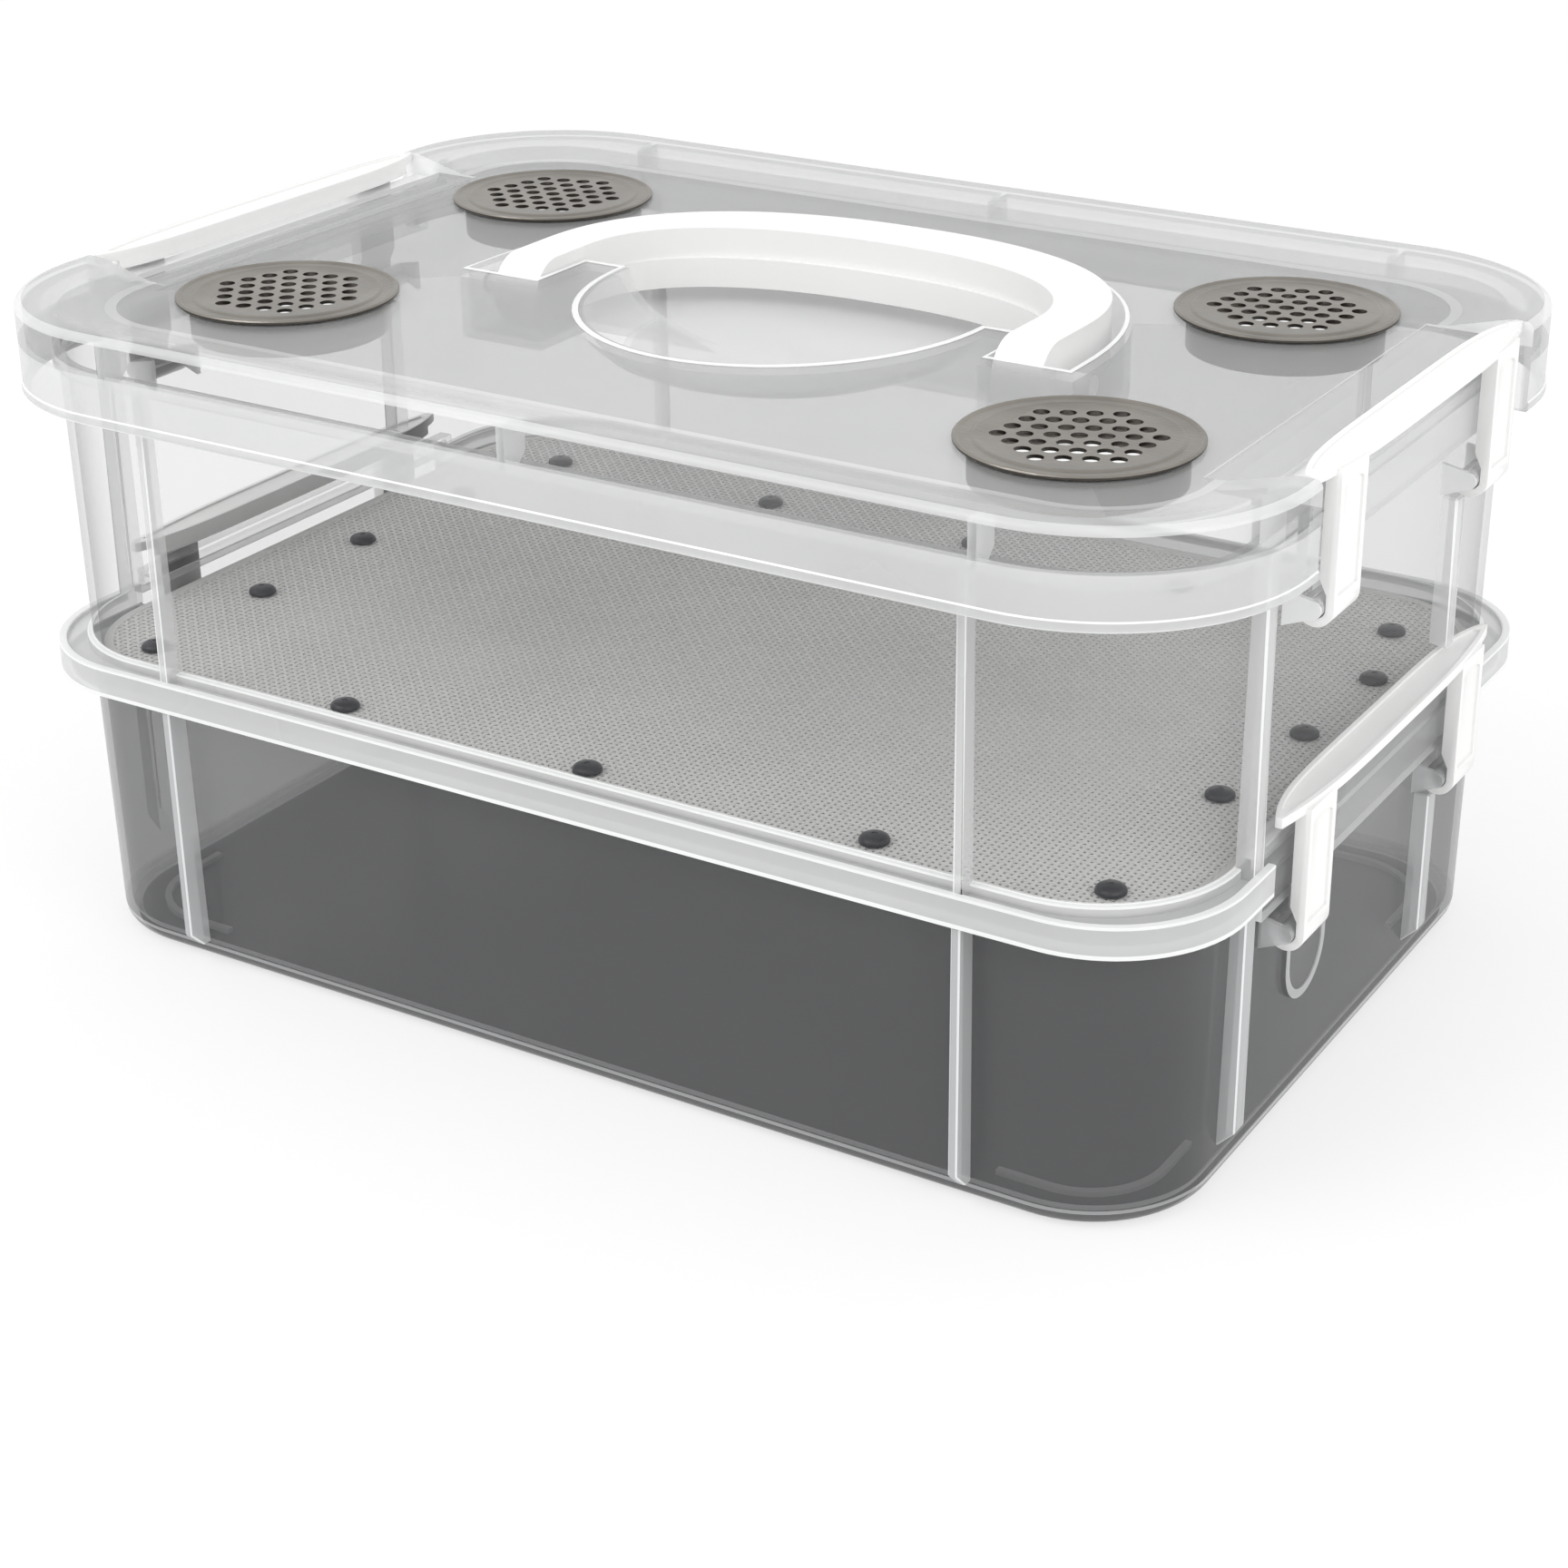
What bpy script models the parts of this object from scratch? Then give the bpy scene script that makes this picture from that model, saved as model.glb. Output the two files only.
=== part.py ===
"""Two-tier cricket keeper box: a deep lower box, an upper box with a mesh floor, and a vented lid with a handle.

Metres, +Z up, origin at the centre of the underside, +X along the long side and -Y towards the front.
Every outline of the boxes and the lid is a rounded rectangle whose half width is its half length less one constant.
"""

import math

import bmesh
import bpy
from mathutils import Matrix, Vector

# Shared outlines and fits: every outline and place follows the upper box's half length at its foot
UPPER_WALL_FOOT = 0.1726
LENGTH_OVER_WIDTH = 0.0568
UPPER_HALF_WIDTH = UPPER_WALL_FOOT - LENGTH_OVER_WIDTH
CORNER_STEPS = 6
GAP = 0.0003
EMBED = 0.0008
OVERRUN = 0.004
HALF_STEP_SHARE = 0.5
SMOOTH_ANGLE = math.radians(35)
EDGE_STEPS = 3

# Latch width along a side wall, which its notches, legs and ribs follow
NOTCH_MARGIN = 0.0458
NOTCH_HALF = UPPER_HALF_WIDTH - NOTCH_MARGIN
LATCH_END_GAP = 0.0005
LATCH_HALF = NOTCH_HALF - LATCH_END_GAP
LEG_INSET = 0.0105
LEG_WIDTH = 0.0160
LEG_HIGH = LATCH_HALF - LEG_INSET
LEG_LOW = LEG_HIGH - LEG_WIDTH

# Lower box
LOWER_INSET = 0.0011
LOWER_DRAFT = 0.0009
LOWER_WALL_FOOT = UPPER_WALL_FOOT - LOWER_INSET
LOWER_WALL_TOP = LOWER_WALL_FOOT + LOWER_DRAFT
LOWER_CORNER = 0.0335
LOWER_EDGE = 0.0055
LOWER_THICKNESS = 0.0020
LOWER_FLOOR = 0.0024
LOWER_RIM_WIDTH = 0.0045
LOWER_RIM_DEPTH = 0.0018
RIM_NOTCH_CLEARANCE = 0.0022
RIM_NOTCH_HALF = NOTCH_HALF + RIM_NOTCH_CLEARANCE
FLOOR_BEAD_INSET = 0.0090
FLOOR_BEAD_WIDTH = 0.0020
FLOOR_BEAD_RISE = 0.0014
FLOOR_BEAD_TAIL = 0.0140

# Upper box and its outer flange
FLANGE_BOTTOM = 0.0792
FLANGE_DEPTH = 0.0084
FLANGE_TOP = FLANGE_BOTTOM + FLANGE_DEPTH
FLANGE_REACH = 0.0068
FLANGE_HALF = UPPER_WALL_FOOT + FLANGE_REACH
FLANGE_CORNER = 0.0365
FLANGE_WALL = 0.0020
LIP_WIDTH = 0.0022
GROOVE_DEPTH = 0.0014
BASE_RING_WIDTH = 0.0016
BASE_RING_RISE = 0.0013
BASE_RING_TOP = FLANGE_TOP + BASE_RING_RISE
SEAT_RISE = 0.0028
SEAT_BOTTOM = FLANGE_BOTTOM + SEAT_RISE
UPPER_DRAFT = 0.0008
UPPER_WALL_TOP = UPPER_WALL_FOOT + UPPER_DRAFT
UPPER_CORNER = 0.0360
UPPER_THICKNESS = 0.0020
LEDGE_THICKNESS = 0.0020
LEDGE_WIDTH = 0.0381
LEDGE_INNER_HALF = UPPER_WALL_FOOT - UPPER_THICKNESS - LEDGE_WIDTH
LEDGE_INNER_CORNER = 0.0120
UPPER_TOP = 0.1701
UPPER_BEAD_WIDTH = 0.0016
UPPER_BEAD_DEPTH = 0.0036

# Mesh floor: one woven panel on the ledge, and the push rivets through both
MESH_THICKNESS = 0.0008
MESH_EDGE_GAP = 0.0007
MESH_COLUMNS = 15
MESH_ROWS = 9
MESH_STRAND = 0.0022
MESH_BORDER = 0.0015
RIVET_HEAD_RADIUS = 0.0039
RIVET_HEAD_RISE = 0.0021
RIVET_SHANK_RADIUS = 0.0018
RIVET_TAIL_RADIUS = 0.0027
RIVET_TAIL_DEPTH = 0.0026
RIVET_SIDES = 8
RIVET_CROWN_SHARE = 0.55
# Rivet places as shares of the mesh panel's half length and half width, front row, sides, then back row
RIVET_PLACE_SHARES = (
    (-0.848, -0.885), (-0.427, -0.930), (0.035, -0.930), (0.524, -0.912), (0.883, -0.867),
    (-0.860, -0.469), (-0.872, -0.044), (-0.866, 0.380),
    (0.886, -0.336), (0.907, 0.062), (0.919, 0.440),
    (-0.813, 0.735), (-0.347, 0.753), (0.077, 0.761), (0.480, 0.757), (0.870, 0.744),
)

# Lid
LID_OVERHANG = 0.01205
LID_HALF = UPPER_WALL_TOP + LID_OVERHANG
LID_CORNER = 0.0530
LID_RISE = 0.0144
LID_TOP = UPPER_TOP + LID_RISE
LID_DEPTH = 0.0241
LID_BOTTOM = LID_TOP - LID_DEPTH
LID_PLATE_DROP = 0.0045
LID_PLATE_TOP = LID_TOP - LID_PLATE_DROP
LID_THICKNESS = 0.0020
LID_EDGE = 0.0020
LID_BAND_WIDTH = 0.00695
LID_BAND_INNER_HALF = LID_HALF - LID_BAND_WIDTH
LID_PLATE_INSET = 0.02565
LID_PLATE_HALF = LID_HALF - LID_PLATE_INSET
LID_PLATE_HALF_WIDTH = LID_PLATE_HALF - LENGTH_OVER_WIDTH
LID_HEM_DEPTH = 0.0024
LID_HEM_STEP = 0.0004
SEAT_RING_REACH = 0.0012
SEAT_RING_OUTER_HALF = UPPER_WALL_TOP + SEAT_RING_REACH
SEAT_RING_WALL = 0.0020
SEAT_RING_ROOT = 0.0121
NOTCH_WALL = 0.0020
LATCH_BED_INSET = 0.0038
LATCH_BED_DEPTH = 0.0005
LATCH_BED_THICKNESS = 0.0018
LATCH_BED_EDGE = 0.0020
LATCH_GROOVE_REACH = 0.0042
PANEL_THICKNESS = 0.0020
GUSSET_INSET = 0.05845
GUSSET_PLACE = LID_HALF - GUSSET_INSET
GUSSET_WIDTH = 0.0022
GUSSET_RISE = 0.0106
GUSSET_BOTTOM = LID_BOTTOM + GUSSET_RISE
GUSSET_CHAMFER = 0.0038

# Vent grilles
VENT_END_MARGIN = 0.0398
VENT_SIDE_MARGIN = 0.0420
VENT_X = LID_PLATE_HALF - VENT_END_MARGIN
VENT_Y = LID_PLATE_HALF_WIDTH - VENT_SIDE_MARGIN
VENT_FLANGE_RADIUS = 0.0300
VENT_FLANGE_DEPTH = 0.0012
VENT_EDGE = 0.0006
VENT_BARREL_RADIUS = 0.0265
VENT_BARREL_WALL = 0.0010
VENT_BARREL_DEPTH = 0.0095
VENT_HOLE_RADIUS = 0.0021
VENT_PITCH = 0.0064
VENT_RINGS = 3
VENT_SIDES = 24
VENT_HOLE_SIDES = 6
VENT_TURNS = {
    "vent_front_left": math.radians(8),
    "vent_front_right": math.radians(25),
    "vent_back_left": math.radians(14),
    "vent_back_right": math.radians(20),
}

# Handle well in the lid
WELL_VENT_OVERLAP = 0.0040
WELL_HALF_WIDTH = VENT_X - VENT_FLANGE_RADIUS + WELL_VENT_OVERLAP
WELL_CENTRE_Y = -0.0100
WELL_BACK_MARGIN = 0.0230
WELL_BACK_Y = LID_PLATE_HALF_WIDTH - WELL_BACK_MARGIN
WELL_BACK_REACH = WELL_BACK_Y - WELL_CENTRE_Y
WELL_POWER = 2.3
WELL_STEPS = 16
WELL_WALL = 0.0018

# Carry handle
HANDLE_PIVOT_Y = -0.0040
HANDLE_SINK = 0.0005
HANDLE_TOP = LID_TOP - HANDLE_SINK
HANDLE_LEG_RADIUS = 0.0107
HANDLE_PIVOT_Z = HANDLE_TOP - HANDLE_LEG_RADIUS
HANDLE_HEIGHT = 0.0172
HANDLE_STEP_DOWN = 0.0094
HANDLE_STEP_IN = 0.0016
HANDLE_END_MARGIN = 0.0085
HANDLE_LEG_WIDTH = 0.0142
HANDLE_OUTER_HALF = WELL_HALF_WIDTH - HANDLE_END_MARGIN
HANDLE_INNER_HALF = HANDLE_OUTER_HALF - HANDLE_LEG_WIDTH
HANDLE_STRAIGHT = 0.0140
HANDLE_BACK_MARGIN = 0.0060
HANDLE_ARCH_WIDTH = 0.0200
HANDLE_OUTER_REACH = WELL_BACK_Y - HANDLE_BACK_MARGIN - HANDLE_PIVOT_Y - HANDLE_STRAIGHT
HANDLE_INNER_REACH = HANDLE_OUTER_REACH - HANDLE_ARCH_WIDTH
HANDLE_STEPS = 16
LEG_STEPS = 16
PIN_RADIUS = 0.0030
PIN_SHORT = 0.0004
PIN_SIDES = 12

# Slots for the handle's legs, and the finger bowl between them
SLOT_CLEARANCE = 0.0007
SLOT_INNER_X = HANDLE_INNER_HALF - SLOT_CLEARANCE
CHEEK_BACK_Y = 0.0080
BOWL_SIDE_MARGIN = 0.0136
BOWL_HALF_WIDTH = SLOT_INNER_X - BOWL_SIDE_MARGIN
BOWL_BACK_MARGIN = 0.0250
BOWL_REACH = WELL_BACK_REACH - BOWL_BACK_MARGIN
BOWL_STEPS = 12
# How far the finger bowl still opens at each height of the well: (height share, opening share)
BOWL_SHARES = ((0.0, 0.42), (0.16, 0.66), (0.45, 0.86), (1.0, 1.0))

# Latches, measured from the latch's own hinge axis
LATCH_TOP = 0.0356
LATCH_FLANGE_DEPTH = 0.0027
LATCH_FLANGE_INNER = 0.0052
LATCH_FLANGE_OUTER = 0.0051
LATCH_TIP_INNER = 0.0002
LATCH_TIP_OUTER = 0.0016
LATCH_INNER_POWER = 6.0
LATCH_OUTER_POWER = 4.0
LATCH_LIP_DEPTH = 0.0025
LATCH_LIP_WALL = 0.0012
LATCH_LIP_SHARE = 0.75
LATCH_FLANGE_STEPS = 12
STRAP_OUTER = 0.0047
STRAP_INNER = 0.0007
HOOK_WALL = 0.0021
HOOK_STEPS = 8
STRAP_SHOULDER = 0.0030
STRAP_SHOULDER_RISE = 0.0018
CATCH_CLEARANCE = 0.0016

# Hinge bars that carry the latches
UPPER_PIVOT_REACH = 0.0079
UPPER_PIVOT_X = UPPER_WALL_FOOT + UPPER_PIVOT_REACH
UPPER_LATCH_RISE = 0.0003
UPPER_PIVOT_Z = LID_TOP + UPPER_LATCH_RISE - LATCH_TOP
LOWER_PIVOT_REACH = 0.0070
LOWER_PIVOT_X = LOWER_WALL_FOOT + LOWER_PIVOT_REACH
LOWER_LATCH_RISE = 0.0120
LOWER_PIVOT_Z = FLANGE_TOP + LOWER_LATCH_RISE - LATCH_TOP
BAR_RADIUS = 0.0023
BAR_SIDES = 12
EAR_THICKNESS = 0.0015
EAR_RISE = 0.0034
LOWER_PANEL_DROP = 0.0072
LOWER_PANEL_BOTTOM = FLANGE_BOTTOM - LOWER_PANEL_DROP
LOWER_PANEL_REACH = 0.0055
LOWER_PANEL_HALF = LOWER_WALL_FOOT + LOWER_PANEL_REACH

# Stiffening ribs
FRONT_RIB_INSET = 0.0509
FRONT_RIB_X = UPPER_WALL_FOOT - FRONT_RIB_INSET
FRONT_RIB_WIDTH = 0.0025
UPPER_RIB_REACH = 0.0051
UPPER_RIB_OUT = UPPER_HALF_WIDTH + UPPER_RIB_REACH
LOWER_RIB_REACH = 0.0072
LOWER_RIB_OUT = LOWER_WALL_FOOT - LENGTH_OVER_WIDTH + LOWER_RIB_REACH
LOWER_RIB_FOOT = 0.0060
LOWER_RIB_SLANT = 0.0050
SIDE_RIB_CLEARANCE = 0.0056
SIDE_RIB_FRONT_Y = -NOTCH_HALF - SIDE_RIB_CLEARANCE
SIDE_RIB_BACK_SHIFT = 0.0040
SIDE_RIB_BACK_Y = LEG_LOW + SIDE_RIB_BACK_SHIFT
SIDE_RIB_WIDTH = 0.0058
SIDE_RIB_RISE = 0.0048
SIDE_RIB_FOOT = 0.0120
RIB_CLEARANCE = 0.0015
LOOP_RIB_SHIFT = 0.0010
LOOP_RIB_SPAN = 0.0250
LOOP_RIB_DROP = 0.0217
LOOP_RIB_LOW_Y = -LEG_LOW - LOOP_RIB_SHIFT
LOOP_RIB_HIGH_Y = LOOP_RIB_LOW_Y + LOOP_RIB_SPAN
LOOP_RIB_TOP = FLANGE_BOTTOM - LOOP_RIB_DROP
LOOP_RIB_BOTTOM = LOOP_RIB_TOP - LOOP_RIB_SPAN
LOOP_RIB_WIDTH = 0.0024
LOOP_RIB_RISE = 0.0018
LOOP_RIB_STEPS = 10

# Sizes that follow from those above
LOWER_TOP = SEAT_BOTTOM - GAP
LEDGE_TOP = SEAT_BOTTOM + LEDGE_THICKNESS
MESH_BOTTOM = LEDGE_TOP + GAP
MESH_TOP = MESH_BOTTOM + MESH_THICKNESS
MESH_HALF = UPPER_WALL_FOOT - UPPER_THICKNESS - MESH_EDGE_GAP
MESH_CORNER = UPPER_CORNER - UPPER_THICKNESS - MESH_EDGE_GAP
WELL_FRONT_Y = HANDLE_PIVOT_Y - HANDLE_LEG_RADIUS - GAP
WELL_FLOOR = HANDLE_PIVOT_Z - HANDLE_LEG_RADIUS - GAP
FLANGE_UNDERSIDE = LATCH_TOP - LATCH_FLANGE_DEPTH
LIP_BOTTOM = FLANGE_UNDERSIDE - LATCH_LIP_DEPTH
NOTCH_FLOOR = UPPER_PIVOT_Z + LIP_BOTTOM - CATCH_CLEARANCE
NOTCH_INNER = UPPER_PIVOT_X - LATCH_FLANGE_INNER - GAP - GAP
LATCH_BED_INNER = LID_PLATE_HALF - LATCH_BED_INSET
LATCH_BED_TOP = LID_PLATE_TOP - LATCH_BED_DEPTH
LATCH_GROOVE_INNER = NOTCH_INNER - LATCH_GROOVE_REACH
LID_PANEL_OUT = UPPER_PIVOT_X + STRAP_INNER - CATCH_CLEARANCE
LOWER_CATCH_TOP = LOWER_PIVOT_Z + LIP_BOTTOM - CATCH_CLEARANCE
HOOK_INNER = BAR_RADIUS + GAP
HOOK_OUTER = HOOK_INNER + HOOK_WALL

# Directions on the four walls: outward, then along the wall
WALLS = {
    "right": (Vector((1, 0, 0)), Vector((0, 1, 0))),
    "left": (Vector((-1, 0, 0)), Vector((0, 1, 0))),
    "front": (Vector((0, -1, 0)), Vector((1, 0, 0))),
    "back": (Vector((0, 1, 0)), Vector((1, 0, 0))),
}


def clear_scene():
    """Removes whatever the open file holds."""
    for item in list(bpy.data.objects):
        bpy.data.objects.remove(item)


def make_material(name, colour, roughness, metallic=0.0, alpha=1.0):
    """A Principled material of one colour."""
    material = bpy.data.materials.new(name)
    material.use_nodes = True
    shader = material.node_tree.nodes["Principled BSDF"]
    shader.inputs["Base Color"].default_value = (*colour, 1.0)
    shader.inputs["Roughness"].default_value = roughness
    shader.inputs["Metallic"].default_value = metallic
    shader.inputs["Alpha"].default_value = alpha
    return material


def new_object(name, mesh):
    """Links an object that shows the mesh."""
    item = bpy.data.objects.new(name, mesh)
    bpy.context.scene.collection.objects.link(item)
    return item


def mesh_from_bmesh(name, shape):
    """Turns a bmesh into a mesh whose faces point outward."""
    bmesh.ops.recalc_face_normals(shape, faces=shape.faces)
    mesh = bpy.data.meshes.new(name)
    shape.to_mesh(mesh)
    shape.free()
    return mesh


def loft(name, rings, closed=False):
    """A solid through rings of equally many points, capped at both ends or closed into a loop."""
    shape = bmesh.new()
    loops = [[shape.verts.new(point) for point in ring] for ring in rings]
    pairs = list(zip(loops, loops[1:]))
    if closed:
        pairs.append((loops[-1], loops[0]))
    else:
        shape.faces.new(loops[0])
        shape.faces.new(loops[-1])
    for first, second in pairs:
        count = len(first)
        for index in range(count):
            following = (index + 1) % count
            shape.faces.new((first[index], first[following], second[following], second[index]))
    return new_object(name, mesh_from_bmesh(name, shape))


def prism(name, outline, travel):
    """A solid swept from a flat outline along the vector travel."""
    return loft(name, [outline, [point + travel for point in outline]])


def combine(target, tools, operation):
    """Joins or cuts the target with each tool in turn, and removes the tools."""
    for tool in tools:
        modifier = target.modifiers.new(tool.name, "BOOLEAN")
        modifier.operation = operation
        modifier.solver = "EXACT"
        modifier.object = tool
    bpy.context.view_layer.update()
    graph = bpy.context.evaluated_depsgraph_get()
    mesh = bpy.data.meshes.new_from_object(target.evaluated_get(graph))
    target.modifiers.clear()
    target.data = mesh
    for tool in tools:
        bpy.data.objects.remove(tool)


def finish(item, material, parent=None):
    """Gives the object its material, smooth shading and parent."""
    item.data.name = item.name
    item.data.materials.clear()
    item.data.materials.append(material)
    item.data.shade_smooth()
    item.data.set_sharp_from_angle(angle=SMOOTH_ANGLE)
    item.parent = parent
    return item


def rounded_ring(half_length, corner, height):
    """A rounded rectangle at one height, its half width following its half length."""
    half_width = half_length - LENGTH_OVER_WIDTH
    points = []
    for quarter, (side_x, side_y) in enumerate(((1, 1), (-1, 1), (-1, -1), (1, -1))):
        centre_x = side_x * (half_length - corner)
        centre_y = side_y * (half_width - corner)
        for step in range(CORNER_STEPS + 1):
            angle = math.pi / 2 * (quarter + step / CORNER_STEPS)
            reach_x = corner * math.cos(angle)
            reach_y = corner * math.sin(angle)
            points.append(Vector((centre_x + reach_x, centre_y + reach_y, height)))
    return points


def rings_of(profile, base_half, base_corner):
    """Rings for a profile of (half length, height), each corner following the ring's own half length."""
    return [rounded_ring(half, base_corner + half - base_half, height) for half, height in profile]


def circle_ring(radius, sides, height):
    """A circle about the Z axis at one height."""
    turns = [2 * math.pi * index / sides for index in range(sides)]
    return [Vector((radius * math.cos(turn), radius * math.sin(turn), height)) for turn in turns]


def wall_prism(name, wall, profile, low, high):
    """A prism on one wall: its profile is (outward, height), and it runs along the wall from low to high."""
    outward, along = WALLS[wall]
    outline = [outward * out + along * low + Vector((0, 0, height)) for out, height in profile]
    return prism(name, outline, along * (high - low))


def rectangle(out_low, out_high, bottom, top):
    """The profile of a plain block for wall_prism."""
    return [(out_low, bottom), (out_high, bottom), (out_high, top), (out_low, top)]


def quarter_arc(centre, radius, start, steps):
    """Profile points a quarter turn round a centre, anticlockwise from the start angle."""
    points = []
    for step in range(steps + 1):
        angle = start + math.pi / 2 * step / steps
        points.append((centre[0] + radius * math.cos(angle), centre[1] + radius * math.sin(angle)))
    return points


def hinge_bars(prefix, pivot_x, pivot_z, wall_out):
    """Bars and ears on both short sides, where the latch hooks turn."""
    tools = []
    root = wall_out - EMBED
    tip = pivot_x + BAR_RADIUS
    profile = [
        (root, pivot_z - BAR_RADIUS - EAR_RISE),
        (tip, pivot_z - BAR_RADIUS),
        (tip, pivot_z + BAR_RADIUS),
        (root, pivot_z + BAR_RADIUS + EAR_RISE / 2),
    ]
    turns = [2 * math.pi * (index + HALF_STEP_SHARE) / BAR_SIDES for index in range(BAR_SIDES)]
    bar = [
        (pivot_x + BAR_RADIUS * math.cos(turn), pivot_z + BAR_RADIUS * math.sin(turn)) for turn in turns
    ]
    inner_low = LEG_LOW - GAP - EAR_THICKNESS
    outer_high = LEG_HIGH + GAP + EAR_THICKNESS
    for wall in ("right", "left"):
        for side in (1, -1):
            name = f"{prefix}_{wall}_{side}"
            spans = ((inner_low, LEG_LOW - GAP), (LEG_HIGH + GAP, outer_high))
            for index, (low, high) in enumerate(spans):
                tools.append(wall_prism(f"{name}_ear_{index}", wall, profile, side * low, side * high))
            bar_low = LEG_LOW - GAP - EAR_THICKNESS / 2
            bar_high = LEG_HIGH + GAP + EAR_THICKNESS / 2
            tools.append(wall_prism(f"{name}_bar", wall, bar, side * bar_low, side * bar_high))
    return tools


def front_ribs(prefix, wall_half, out, bottom, top, foot_slant):
    """The thin upright ribs on the long walls of one box."""
    root = wall_half - LENGTH_OVER_WIDTH - EMBED
    profile = [(root, bottom), (out - foot_slant, bottom), (out, bottom + foot_slant), (out, top), (root, top)]
    tools = []
    for wall in ("front", "back"):
        for side in (1, -1):
            low = side * FRONT_RIB_X - FRONT_RIB_WIDTH / 2
            high = side * FRONT_RIB_X + FRONT_RIB_WIDTH / 2
            tools.append(wall_prism(f"{prefix}_{wall}_{side}", wall, profile, low, high))
    return tools


def side_ribs(prefix, wall_half, centre_y, bottom, top, foot_slant):
    """One broad upright rib on each short wall."""
    root = wall_half - EMBED
    out = wall_half + SIDE_RIB_RISE
    profile = [(root, bottom), (out - foot_slant, bottom), (out, bottom + foot_slant), (out, top), (root, top)]
    low = centre_y - SIDE_RIB_WIDTH / 2
    high = centre_y + SIDE_RIB_WIDTH / 2
    return [wall_prism(f"{prefix}_{wall}", wall, profile, low, high) for wall in ("right", "left")]


def loop_ribs(wall_half):
    """A U-shaped raised line on each short wall, under the front leg of the latch."""
    middle = (LOOP_RIB_LOW_Y + LOOP_RIB_HIGH_Y) / 2
    outer = (LOOP_RIB_HIGH_Y - LOOP_RIB_LOW_Y) / 2
    inner = outer - LOOP_RIB_WIDTH
    bend = LOOP_RIB_BOTTOM + outer
    outline = [(middle - outer, LOOP_RIB_TOP)]
    for step in range(LOOP_RIB_STEPS + 1):
        angle = math.pi + math.pi * step / LOOP_RIB_STEPS
        outline.append((middle + outer * math.cos(angle), bend + outer * math.sin(angle)))
    outline += [(middle + outer, LOOP_RIB_TOP), (middle + inner, LOOP_RIB_TOP)]
    for step in range(LOOP_RIB_STEPS + 1):
        angle = 2 * math.pi - math.pi * step / LOOP_RIB_STEPS
        outline.append((middle + inner * math.cos(angle), bend + inner * math.sin(angle)))
    outline.append((middle - inner, LOOP_RIB_TOP))
    tools = []
    for side in (1, -1):
        start = side * (wall_half - EMBED)
        points = [Vector((start, along, height)) for along, height in outline]
        tools.append(prism(f"loop_rib_{side}", points, Vector((side * (LOOP_RIB_RISE + EMBED), 0, 0))))
    return tools


def floor_beads():
    """Raised corner lines on the floor of the lower box."""
    inner_half = LOWER_WALL_FOOT - LOWER_THICKNESS
    corner = LOWER_CORNER - LOWER_THICKNESS
    outer = corner - FLOOR_BEAD_INSET
    inner = outer - FLOOR_BEAD_WIDTH
    bottom = LOWER_FLOOR - EMBED
    tools = []
    for side_x in (1, -1):
        for side_y in (1, -1):
            centre = Vector((inner_half - corner, inner_half - LENGTH_OVER_WIDTH - corner, bottom))
            steps = range(CORNER_STEPS + 1)
            turns = [math.pi / 2 * step / CORNER_STEPS for step in steps]
            outline = [centre + Vector((outer, -FLOOR_BEAD_TAIL, 0))]
            outline += [centre + Vector((outer * math.cos(turn), outer * math.sin(turn), 0)) for turn in turns]
            outline.append(centre + Vector((-FLOOR_BEAD_TAIL, outer, 0)))
            outline.append(centre + Vector((-FLOOR_BEAD_TAIL, inner, 0)))
            turns.reverse()
            outline += [centre + Vector((inner * math.cos(turn), inner * math.sin(turn), 0)) for turn in turns]
            outline.append(centre + Vector((inner, -FLOOR_BEAD_TAIL, 0)))
            points = [Vector((side_x * point.x, side_y * point.y, point.z)) for point in outline]
            rise = Vector((0, 0, EMBED + FLOOR_BEAD_RISE))
            tools.append(prism(f"floor_bead_{side_x}_{side_y}", points, rise))
    return tools


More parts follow.
